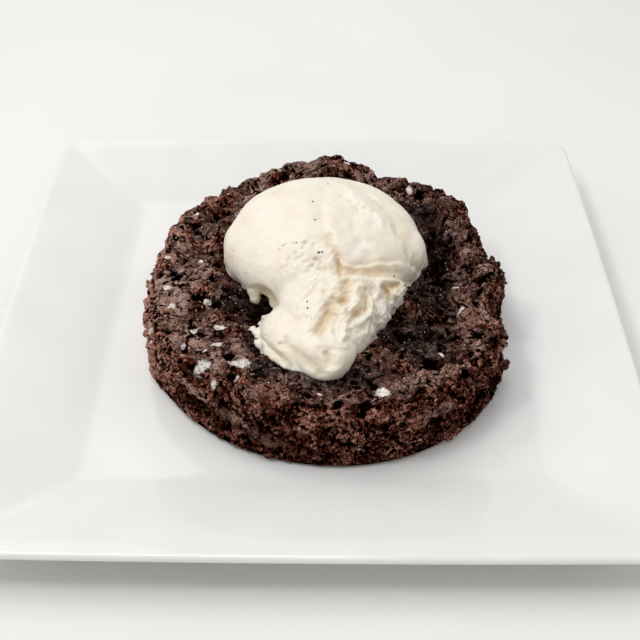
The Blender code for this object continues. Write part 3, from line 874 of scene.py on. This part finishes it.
def wallCrumbs(s, rng):
    centre = cakeSettings["centre"]
    lowest = centre.z + 0.3 * mm
    outside = 80  # mm from the cake's axis
    places = []
    count = int(2 * math.pi * cakeSettings["radius"] / s["wallStep"])
    for row in range(int(s["wallTop"] / s["wallStep"])):
        for column in range(count):
            angle = 2 * math.pi * (column + rng.uniform(0, 1) + 0.5 * (row % 2)) / count
            height = (row + rng.uniform(0.0, 1.0)) * s["wallStep"] + 0.2 * mm
            size = rng.uniform(*s["wallSize"]) ** 1.3 * mm
            keep = rng.random()
            outwards = Vector((math.cos(angle), math.sin(angle), 0))
            start = centre + outwards * outside * mm + Vector((0, 0, height))
            place, normal, face, _ = cakeSurface.ray_cast(start, -outwards)
            if place is None or opennessAt[firstCorner[face]] < s["shut"]:
                continue
            if keep > crumblyAt(place - centre, False) * 0.85 - 0.1:
                continue
            if skinAt(math.degrees(angle), height / mm) > 0.3:
                continue
            place.z = max(place.z, lowest + size * 0.5)
            places.append(crumbAt(place - normal * size * 0.4, normal, size, s["shapes"], rng))
    for azimuth, height, size in wallChunks:
        angle = math.radians(azimuth)
        outwards = Vector((math.cos(angle), math.sin(angle), 0))
        start = Vector((centre.x, centre.y, height * mm + centre.z)) + outwards * outside * mm
        place = cakeSurface.ray_cast(start, -outwards)[0]
        for _ in range(s["chunkBits"]):
            bit = size * rng.uniform(0.35, 0.75) * mm
            shift = Vector([rng.uniform(-0.6, 0.6) * size * mm for _ in range(3)])
            at = place + shift + outwards * 0.3 * size * mm
            at.z = max(at.z, lowest + bit * 0.5)
            places.append(crumbAt(at, outwards, bit, s["shapes"], rng))
    return places


def topCrumbs(s, rng):
    centre, reach = cakeSettings["centre"], s["topReach"]
    places = []
    count = int(2 * reach / s["topStep"])
    for row in range(count):
        for column in range(count):
            x = -reach + (row + rng.uniform(0, 1)) * s["topStep"]
            y = -reach + (column + rng.uniform(0, 1)) * s["topStep"]
            size = rng.uniform(*s["topSize"]) * mm
            keep = rng.random()
            if not s["topStart"] < math.hypot(x, y) < reach:
                continue
            place, normal, _, _ = cakeSurface.ray_cast(centre + Vector((x, y, 60 * mm)), down)
            if place is None:
                continue
            crumbly = crumblyAt(Vector((x, y, 26 * mm)), True)
            if keep > (0.08 + 0.46 * crumbly) * (1 - min(1.0, 1.15 * soakedAt(x / mm, y / mm))):
                continue
            places.append(crumbAt(place - normal * size * 0.3, normal, size, s["shapes"], rng))
    return places


rng = random.Random(crumbSettings["seed"])
shapes = crumbShapes(crumbSettings["shapes"], rng)
looseCrumb = crumbMaterial("loose chocolate crumb", True, crumbLook)
addPiece("wall_crumbs", scatterShapes(shapes, wallCrumbs(crumbSettings, rng)), looseCrumb)
addPiece("crust_crumbs", scatterShapes(shapes, topCrumbs(crumbSettings, rng)), looseCrumb)
report("crumbs made")


# Sugar

sugarSettings = {
    "shapes": 8,
    "specks": 230,
    "speckSize": (0.12, 0.26),  # radii in mm
    "grainSize": (0.28, 0.55),
    "grainsPerArea": 0.22,  # for each mm2 of a spot's length times its width
    "seed": 7,
    "tones": [(0.3, "#c9b9ad"), (0.5, "#e9e1da"), (0.7, "#f6f2ee")],
}


def sugarMaterial(s):
    # undissolved sugar baked into the crust: off-white, slightly see-through grains with dull faces
    material, add, shader, where = newMaterial("baked sugar", {
        "Roughness": 0.5, "IOR": 1.55, "Specular IOR Level": 0.4, "Subsurface Weight": 0.4,
        "Subsurface Scale": 0.8 * mm, "Subsurface Radius": (1.0, 0.8, 0.6)})
    cloud = add("TexNoise", {"Scale": 1 / (1.1 * mm), "Detail": 2.0}, {"Vector": where})
    tone = add("ValToRGB", {"stops": s["tones"]}, {"Fac": cloud})
    bump = add("Bump", {"Strength": 0.6, "Distance": 0.2 * mm}, {"Height": cloud})
    linkInputs(shader, {"Base Color": tone, "Normal": bump})
    return material


def sugarPlaces(s, rng):
    places = []
    for x, y, length, width, heading in sugarSpots:
        for _ in range(round(1 + length * width * s["grainsPerArea"])):
            radial = math.sqrt(rng.random()) * 0.4
            angle = rng.uniform(0, 6.28)
            turn = math.radians(heading)
            u, v = radial * math.cos(angle) * length, radial * math.sin(angle) * width
            spotX = x + u * math.cos(turn) - v * math.sin(turn)
            spotY = y + u * math.sin(turn) + v * math.cos(turn)
            size = rng.uniform(*s["grainSize"]) * mm
            place, normal, _, _ = cakeSurface.ray_cast(Vector((spotX * mm, spotY * mm, overhead)), down)
            if place is not None:
                places.append(crumbAt(place - normal * size * 0.35, normal, size, s["shapes"], rng))
    for _ in range(s["specks"]):
        angle = rng.uniform(0, 6.28)
        radius = rng.uniform(30, 58) * mm
        at = cakeSettings["centre"] + Vector((math.cos(angle) * radius, math.sin(angle) * radius, overhead))
        place, normal, _, _ = cakeSurface.ray_cast(at, down)
        if place is not None:
            size = rng.uniform(*s["speckSize"]) * mm
            places.append(crumbAt(place + normal * size * 0.3, normal, size, s["shapes"], rng))
    return places


sugarPlaced = sugarPlaces(sugarSettings, random.Random(sugarSettings["seed"]))
addPiece("sugar_grains", scatterShapes(shapes, sugarPlaced), sugarMaterial(sugarSettings))
report("sugar made")


# Ice cream

scoopSettings = {
    "voxel": 0.42 * mm,
    "settle": 10,
    "tilt": 42,  # degrees: it is carved from the front and this far above
    "bend": (5.5, 1.1, 1.4, 0.35),  # the strokes waver: size and reach in mm of a slow and a quick bend
    "darkReach": 3,  # mm: strokes narrower than this get a warm painted shade
    "sunk": 0.7 * mm,  # how far below the crust its hidden side stops
    "specks": 26,
    "speckSize": (0.10, 0.17),  # radii in mm
    "seed": 19,
    "tones": [(0.3, "#eee3cf"), (0.7, "#f4ede0")],
    "hollowShadeTone": "#d8bd93",
    "seedTones": [(0.3, "#2a2119"), (0.7, "#4a3a2a")],
}

# lumps that make up the scoop: centre, radii in mm, turn about X, Y and Z in degrees
scoopLumps = [
    ((3.4, 3.6, 39.3), (31.4, 29.6, 16.4), (0, 0, 0)),  # dome
    ((-20.6, 2.6, 38.0), (8.6, 13.0, 9.6), (0, 0, 0)),  # its fuller left and right
    ((27.4, 1.6, 37.6), (8.8, 13.0, 9.8), (0, 0, 0)),
    ((24.0, -5.0, 37.6), (9.5, 9.0, 9.0), (0, 0, 0)),
    ((4.0, 8.5, 34.5), (27.0, 22.0, 13.0), (0, 0, 0)),  # its foot, sunk into the cake
    ((15.4, -13.0, 36.3), (13.6, 11.5, 10.5), (0, 0, -20)),  # right flank
    ((14.6, -23.0, 34.0), (9.2, 9.0, 7.0), (0, 0, 0)),
    ((4.5, -22.0, 37.0), (15.4, 23.0, 11.0), (14, 0, 8)),  # tongue
    ((3.0, -37.2, 34.5), (10.8, 14.2, 8.0), (5, 0, 8)),  # its tip
    ((-4.6, -34.0, 33.0), (10.8, 13.2, 7.7), (0, 0, 20)),  # lobe at the tip's left
    ((-12.4, -22.6, 32.0), (3.6, 5.0, 3.4), (0, 0, 0)),  # lobe's top, under the hollow
]

# the hollow between the dome and the lobe, as one more lump that is cut away
scoopBite = ((-16.6, -19.4, 34.8), (5.6, 12.0, 5.0), (-42, 0, 0))

# a drip that hangs from the dome over the hollow
dripLumps = [
    ((-18.9, -12.6, 36.8), (2.8, 2.8, 2.6), (0, 0, 0)), ((-18.5, -14.8, 34.8), (2.3, 2.2, 2.6), (0, 0, 0)),
    ((-18.3, -15.9, 32.9), (1.9, 1.9, 2.0), (0, 0, 0)),
]

# the sagging underside of the dome inside the hollow, painted in shade, as less light gets through there
shelteredLumps = [
    ((-16.0, -12.8, 35.8), (3.2, 2.4, 1.8), (0, 0, 0)), ((-13.4, -14.8, 35.4), (3.0, 2.4, 1.9), (0, 0, 0)),
    ((-11.4, -16.8, 34.8), (2.6, 2.4, 2.0), (0, 0, 0)), ((-11.9, -18.0, 33.2), (1.7, 1.9, 2.2), (0, 0, 0)),
]

# melted rim that runs out on the crust: x and y in mm, reach
meltSpots = [
    (-14.9, -35.6, 2.2), (-13.7, -38.0, 2.5), (-12.3, -40.2, 2.4), (-10.6, -42.0, 2.6), (-8.9, -43.6, 2.3),
    (-7.2, -45.0, 2.6), (-5.3, -45.8, 2.2), (-3.6, -46.3, 2.2), (-1.4, -46.9, 1.9), (-15.6, -32.6, 2.0),
    (-16.7, -30.8, 1.2), (-17.9, -29.9, 0.8), (-16.1, -35.4, 1.2), (-15.0, -29.4, 2.0), (-14.6, -19.6, 1.5),
    (-15.4, -24.6, 1.6),
]

# strokes on the carving plane: places along each in mm across and up from the dome's middle, reach, depth
# (below 0 a raised line); a step falls at once to the right of its line as drawn, and rises slowly again
scoopGrooves = [
    ([(8.0, 12), (10.5, 4), (13.5, -2.5)], 6.5, 1.3),  # the facet that the spoon left
    ([(1.6, 0.6), (2.7, -2.0), (3.5, -4.6), (4.5, -7.6)], 1.5, 1.3),
    ([(4.5, -7.6), (4.9, -11.0)], 0.9, 0.9),
    ([(5.4, -8.8), (9.6, -10.1), (16, -9.8), (22, -9.6), (25, -10.2)], 1.1, 0.8),
    ([(6.9, -13.2), (6.6, -15.5), (6.0, -17.9)], 1.7, 2.6),
    ([(18.2, -14.8), (18.8, -15.8)], 1.2, 2.2),
    ([(20.8, -14.5), (23.0, -13.6)], 1.3, 2.4),
    ([(19.6, -16.4), (20.3, -18.0)], 0.9, 1.6),
    ([(-1.6, -15.2), (0.2, -15.6)], 1.1, 1.0),
    ([(3.4, -17.6), (4.2, -19.0)], 1.3, 1.9),
    ([(1.8, -20.2), (0.4, -24.5), (-1.2, -28.0)], 1.9, 2.3),
    ([(3.0, -23.6), (3.1, -28.2)], 0.6, 1.0),
    ([(13.0, -15.6), (12.4, -20.2), (10.6, -22.4), (8.7, -23.6)], 1.5, 1.8),
    ([(14.2, -25.2), (14.6, -25.6)], 0.8, 1.2),
    ([(-18, -30.6), (-14.2, -33.7), (-9.4, -38)], 0.8, 0.9),  # crease beside the lobe
    ([(-10.5, -31.5), (-7.8, -34.7), (-5.3, -36.0), (-2.5, -36.9), (-0.7, -39.4)], 1.8, 1.1),
    ([(0.6, -34.5), (1.8, -36.8)], 1.1, 1.3),
    ([(-1.4, -31.9), (2.7, -31.6), (6.8, -31.8)], 0.7, -0.55),
    ([(0.2, -33.4), (-0.8, -35.4)], 0.8, -0.4),
    ([(4.6, -34.4), (5.2, -37.4), (3.2, -39.0)], 1.4, -0.9),
    ([(-4, -27.5), (-1.5, -31)], 0.8, -0.5),
    ([(4.2, -20.5), (6.4, -24), (6.2, -28.8)], 1.0, -0.8),
    ([(14.8, -18), (14.6, -22), (12, -24.6), (9.2, -26)], 1.0, -0.9),
    ([(9.2, -14.6), (9.8, -19), (8.4, -21.8)], 1.0, -0.9),
    ([(17.6, -20), (19.4, -21.8)], 1.0, -0.7),
    ([(16.4, -13.8), (16.2, -17)], 0.8, -0.6),
    ([(8.6, 15.6), (10.2, 14.4), (12.0, 13.2)], 1.5, -1.3),
    ([(13.2, 11.8), (14.8, 10.2)], 1.2, -1.0),
    ([(16.4, 8.0), (18.4, 5.0)], 0.9, -0.7),
    ([(5.0, 13.0), (7.4, 11.4)], 1.2, -0.4),
]
scoopSteps = [
    ([(2.6, 19.0), (2.0, 13.5), (1.4, 9.0), (1.2, 4.0),
      (1.6, 0.8)], 2.6, 8.0, 1.5),  # ridge at the facet's left
    ([(25.0, -7.0), (21.1, -7.1), (16.7, -7.4), (13, -8.2), (9.6, -8.4), (6.3, -7.4),
      (4.4, -5.8)], 0.8, 2.4, -1.0),
    ([(28.4, -8.6), (25.8, -4.9), (23.8, -0.3), (20.6, 5.9), (17.6, 10.6), (14.2, 14.2), (10.4, 16.8),
      (6.8, 19.2)], 1.2, 4.5, -2.0),
    ([(26.4, -13.6), (23.6, -12.7), (20.6, -12.2), (15.5, -12.1), (8.4, -11.6),
      (5.4, -11.0)], 0.9, 5.0, -2.6),
    ([(-12.0, -8.6), (-7.5, -6.0), (-2.4, -5.4)], 0.7, 1.8, -0.35),
    ([(-9.5, -12.6), (-5.5, -9.4), (-1.0, -8.6)], 0.7, 1.8, -0.35),
    ([(-6.0, -19.0), (-3.0, -13.6), (1.0, -11.6)], 0.7, 1.8, -0.4),
]

# small holes where air bubbles opened: places in mm, radius, depth
scoopHoles = [
    (-5.8, -1.2, 0.7, 0.9), (-6.4, -2.8, 0.5, 0.5), (-8.5, -4.4, 0.6, 0.5), (-10.3, -6.5, 1.0, 0.5),
    (-8.0, -6.0, 0.8, 0.5), (-2.4, -6.2, 0.8, 0.6), (-1.2, -7.1, 0.7, 0.6), (-3.6, -8.3, 0.7, 0.5),
    (-25.6, 6.5, 0.8, 0.7), (-3.4, -1.6, 0.5, 0.4), (-11.8, -1.9, 0.5, 0.4), (-15.0, 10.4, 0.6, 0.4),
    (-12.6, 11.6, 0.7, 0.3), (-16.4, 12.2, 0.6, 0.3), (-16.5, -25.6, 0.45, 0.6), (-17.4, -29.3, 0.4, 0.5),
    (-12.7, -31.6, 0.45, 0.6), (-11, -29.6, 0.4, 0.5), (5.6, 14.6, 0.6, 0.5), (8.4, 12.8, 0.6, 0.5),
    (3.8, 13.2, 0.6, 0.4), (22.6, 2.2, 0.5, 0.5), (-13.6, -3.4, 0.5, 0.4), (-9.2, -1.4, 0.5, 0.5),
    (6.6, 10.8, 0.5, 0.4), (10.6, 9.6, 0.6, 0.4), (15.2, 7.6, 0.5, 0.4), (-9.4, 16.6, 0.8, 0.3),
    (-5.2, -24.0, 0.6, 0.4), (-7.4, -25.4, 0.6, 0.4),
]

# dark vanilla specks: places in mm, radius
scoopSpecks = [
    (-4.9, -19.1, 0.34), (-4.8, -21.0, 0.34), (21.6, -10.7, 0.36), (-3.6, 12.7, 0.32), (-2.9, 6.5, 0.30),
    (-1.6, -4.1, 0.36), (-0.6, -3.9, 0.32), (-8.4, -1.1, 0.28), (-12.5, -2.0, 0.24), (-28.5, -3.0, 0.24),
    (25.4, -13.5, 0.30), (27.4, -11.9, 0.28), (-16.6, 16.2, 0.22), (1.2, 19.6, 0.26), (-24.0, -10.0, 0.2),
]


def carvingPlane():
    tilt = math.radians(scoopSettings["tilt"])
    centre = np.array(scoopLumps[0][0]) * mm
    up = np.array((0, math.sin(tilt), math.cos(tilt)))
    towards = np.array((0, -math.cos(tilt), math.sin(tilt)))
    return centre, up, towards


def lumpsObject(name, lumps):
    bm = bmesh.new()
    for centre, radii, turn in lumps:
        angles = Euler([math.radians(a) for a in turn]).to_matrix().to_4x4()
        size = Matrix.Diagonal((*[r * mm for r in radii], 1))
        lie = Matrix.Translation(Vector(centre) * mm) @ angles @ size
        bmesh.ops.create_icosphere(bm, subdivisions=5 if max(radii) > 6 else 3, radius=1.0, matrix=lie)
    return placeObject(name, meshFrom(bm, name))


def distanceTo(points, x, y):
    # distance in mm from a broken line, and that distance with a sign: above 0 to the line's right
    best = np.full(len(x), 1e9)
    sign = np.ones(len(x))
    for (x0, y0), (x1, y1) in zip(points, points[1:]):
        runX, runY = x1 - x0, y1 - y0
        share = np.clip(((x - x0) * runX + (y - y0) * runY) / (runX * runX + runY * runY), 0, 1)
        away = np.hypot(x - x0 - share * runX, y - y0 - share * runY)
        nearer = away < best
        best = np.where(nearer, away, best)
        sign = np.where(nearer, np.sign((y - y0) * -runX + (x - x0) * runY), sign)
    return best, best * sign


def meshArrays(mesh):
    # places and normals of the vertices
    arrays = []
    for name in ("co", "normal"):
        values = np.empty(len(mesh.vertices) * 3, np.float32)
        mesh.vertices.foreach_get(name, values)
        arrays.append(values.reshape(-1, 3).astype(float))
    return arrays


def setPlaces(mesh, places):
    mesh.vertices.foreach_set("co", places.astype(np.float32).ravel())
    mesh.update()


def noiseAt(places, size, seed):
    # values of a smooth noise, one for each place; places and size in mm
    shift = Vector(seed)
    return np.array([noise.fractal(Vector(p) / size + shift, 0.8, 2.1, 1) for p in places])


def strokesAt(x, y, bentX, bentY, swing):
    # depth of all strokes and holes in mm, and of those that get painted shade
    depth = np.zeros(len(x))
    hollow = np.zeros(len(x))
    for points, reach, deepest in scoopGrooves:
        away, _ = distanceTo(points, bentX, bentY)
        press = deepest * np.exp(-(away / reach) ** 2) * (1 + 0.5 * swing)
        depth += press
        if reach < scoopSettings["darkReach"] and deepest > 0:
            hollow += press
    for points, edge, fade, drop in scoopSteps:
        away, side = distanceTo(points, bentX, bentY)
        ends = 1 - smoothSteps(0.5 * edge, fade, np.abs(away - np.abs(side)))
        press = abs(drop) * smoothSteps(-0.25 * edge, edge, side)
        press = press * np.exp(-np.clip(side, 0, None) / fade) * ends
        depth += press * (1 + 0.35 * swing)
        hollow += 0.45 * press * (edge < 2)
    for holeX, holeY, radius, deepest in scoopHoles:
        press = deepest * np.exp(-(np.hypot(x - holeX, y - holeY) / radius) ** 4)
        depth += press
        hollow += press
    return depth, hollow


def roughnessAt(place, torn, band, low):
    # height in mm of small folds: torn ridges, a band of streaks, and layers low down at the back
    sample = Vector(place)
    value = 0.45 * noise.noise(sample / 8.0) + 0.16 * noise.noise(sample / 3.6)
    value += 0.08 * noise.fractal(sample / 1.4, 0.9, 2.0, 2)
    if torn > 0.01:
        folded = sample + noise.noise_vector(sample / 4.0) * 2.2
        ridges = 0.5 - abs(noise.noise(folded / 3.4 + Vector((4, 1, 7)))) * 1.6
        value += torn * (0.9 * ridges + 0.35 * noise.fractal(folded / 1.5, 0.8, 2.1, 2))
    if band > 0.01:
        streak = Vector((sample.x * 0.55 + sample.y * 0.35, sample.x - sample.y * 1.1, sample.z))
        value += band * 0.38 * noise.fractal(streak / 1.7, 0.8, 2.0, 2)
    if low > 0.01:
        strata = Vector((sample.x * 0.25, sample.y * 0.25, sample.z * 1.1))
        value += low * (1.4 * noise.fractal(sample / 5.5, 0.8, 2.0, 3) + 0.45 * noise.noise(strata))
    return value


def carveScoop(mesh):
    centre, up, towards = carvingPlane()
    places, normals = meshArrays(mesh)
    local = places / mm
    x = (places[:, 0] - centre[0]) / mm
    y = (places - centre) @ up / mm
    slow, slowReach, quick, quickReach = scoopSettings["bend"]
    front = (normals @ towards) > -0.1
    bent = []
    for at, slowSeed, quickSeed in ((x, (3, 1, 4), (1, 5, 9)), (y, (2, 6, 5), (3, 5, 8))):
        at = at.copy()
        at[front] += (slowReach * noiseAt(local[front], slow, slowSeed)
                      + quickReach * noiseAt(local[front], quick, quickSeed))
        bent.append(at)
    bentX, bentY = bent
    swing = np.zeros(len(x))
    swing[front] = noiseAt(local[front], 3.6, (9, 7, 9))
    facing = smoothSteps(0.0, 0.4, normals @ towards)
    depth, hollow = strokesAt(x, y, bentX, bentY, swing)
    sheltered = np.zeros(len(x))
    for middle, radii, _ in shelteredLumps[:3]:
        away = np.linalg.norm((local - np.array(middle)) / np.array(radii), axis=1)
        sheltered = np.maximum(sheltered, 1 - smoothSteps(0.9, 1.5, away))
    tornArea = smoothSteps(2.0, 6.0, bentX) * smoothSteps(-33.0, -29.0, y)
    tornArea *= 1 - smoothSteps(-13.5, -12.3, bentY)
    bandArea = smoothSteps(-13, -6, x) * (1 - smoothSteps(1.5, 5.0, x + 0.25 * y)) * smoothSteps(-32, -28, y)
    bandArea *= 1 - smoothSteps(-4, 2, y)
    collar = 1 - smoothSteps(35, 43, places[:, 2] / mm)
    lowBehind = collar * (1 - smoothSteps(-0.3, 0.35, normals @ towards))
    rough = np.array([roughnessAt(*row) for row in zip(local, tornArea, bandArea, lowBehind)])
    places = places - np.outer(depth * facing * mm, towards) + normals * (rough * mm)[:, None]
    setPlaces(mesh, places)
    # painted shade: grooves, holes, torn folds and the sheltered underside are made a warmer tone
    storeValues(mesh, "hollow", hollow * facing + 0.25 * np.clip(-rough, 0, 1) * tornArea + 1.7 * sheltered)


def seatOnCake(mesh, sunk):
    # what would be inside the cake is drawn up to just under the crust
    places, _ = meshArrays(mesh)
    for i, place in enumerate(places):
        hit = cakeSurface.ray_cast(Vector((place[0], place[1], overhead)), down)[0]
        if hit is not None and place[2] < hit.z - sunk:
            places[i][2] = hit.z - sunk
    setPlaces(mesh, places)


def meltLumps():
    # flat lumps on the crust, one for each melt spot
    lumps = []
    for x, y, reach in meltSpots:
        hit = cakeSurface.ray_cast(Vector((x * mm, y * mm, overhead)), down)[0]
        lumps.append(((x, y, hit.z / mm + 0.1), (reach, reach, 0.9 + 0.25 * reach), (0, 0, 0)))
    return lumps


def iceCreamMaterial(s):
    # dense vanilla ice cream, softening: creamy and slightly see-through, satin where it has begun to melt,
    # with a warm shade painted into its hollows
    material, add, shader, where = newMaterial("vanilla ice cream", {
        "IOR": 1.38, "Subsurface Weight": 0.35, "Subsurface Scale": 3 * mm,
        "Subsurface Radius": (1.0, 0.72, 0.42)})
    cloud = add("TexNoise", {"Scale": 1 / (8 * mm), "Detail": 4.0}, {"Vector": where})
    grain = add("TexNoise", {"Scale": 1 / (0.9 * mm), "Detail": 3.0}, {"Vector": where})
    tone = add("ValToRGB", {"stops": s["tones"]}, {"Fac": cloud})
    hollow = add("Attribute", {"attribute_name": "hollow"}).outputs["Fac"]
    # painted shade: the hollows are made a warm tan
    depth = add("MapRange", {"From Min": 0.3, "From Max": 2.2, "To Max": 0.7}, {"Value": hollow})
    colour = add("Mix", {"data_type": "RGBA", colourB: s["hollowShadeTone"]}, {mixShare: depth, colourA: tone})
    rough = add("MapRange", {"From Min": 0.35, "From Max": 0.65, "To Min": 0.32, "To Max": 0.5},
                {"Value": cloud})
    bump = add("Bump", {"Strength": 0.35, "Distance": 0.2 * mm}, {"Height": grain})
    linkInputs(shader, {"Base Color": colour, "Roughness": rough, "Normal": bump})
    return material


def makeScoop(s):
    voxels = ("REMESH", {"mode": "VOXEL", "voxel_size": s["voxel"]})
    lumps = lumpsObject("lumps", scoopLumps)
    bite = lumpsObject("bite", [scoopBite])
    bite.hide_render = True
    cut = ("BOOLEAN", {"object": bite, "operation": "DIFFERENCE", "solver": "EXACT"})
    joined = appliedMesh(lumps, [voxels, cut])
    bpy.data.objects.remove(bite)
    # the melt and the drip are joined on after the cut, and the voxels make one skin of it all
    extra = lumpsObject("extra", meltLumps() + dripLumps + shelteredLumps)
    bm = bmesh.new()
    bm.from_mesh(joined)
    bm.from_mesh(extra.data)
    bm.to_mesh(extra.data)
    bm.free()
    mesh = appliedMesh(extra, [voxels, ("SMOOTH", {"factor": 0.5, "iterations": s["settle"]})])
    mesh.name = "ice_cream_scoop"
    carveScoop(mesh)
    seatOnCake(mesh, s["sunk"])
    return mesh


scoopMesh = makeScoop(scoopSettings)
addPiece("ice_cream_scoop", scoopMesh, iceCreamMaterial(scoopSettings), "ice_cream")
scoopSurface = surfaceOf(scoopMesh)


def speckPlaces(s, rng):
    centre, up, towards = carvingPlane()
    places = []
    spots = list(scoopSpecks)
    for _ in range(s["specks"]):
        spots.append((rng.uniform(-27, 22), rng.uniform(-30, 18), rng.uniform(*s["speckSize"])))
    for x, y, radius in spots:
        start = Vector(centre + np.array((x, 0, 0)) * mm + up * y * mm + towards * overhead)
        place, normal, _, _ = scoopSurface.ray_cast(start, Vector(-towards))
        if place is not None:
            places.append(crumbAt(place, normal, radius * mm, sugarSettings["shapes"], rng))
    return places


def seedMaterial(s):
    # ground vanilla pod: dull specks between black and dark brown
    material, add, shader, where = newMaterial("ground vanilla seed", {"Roughness": 0.6, "IOR": 1.45})
    mottle = add("TexNoise", {"Scale": 1 / (1.4 * mm)}, {"Vector": where})
    linkInputs(shader, {"Base Color": add("ValToRGB", {"stops": s["seedTones"]}, {"Fac": mottle})})
    return material


specksPlaced = speckPlaces(scoopSettings, random.Random(scoopSettings["seed"]))
addPiece("vanilla_seeds", scatterShapes(shapes, specksPlaced), seedMaterial(scoopSettings))
report("ice cream made")

for shape in shapes:
    bpy.data.meshes.remove(shape)
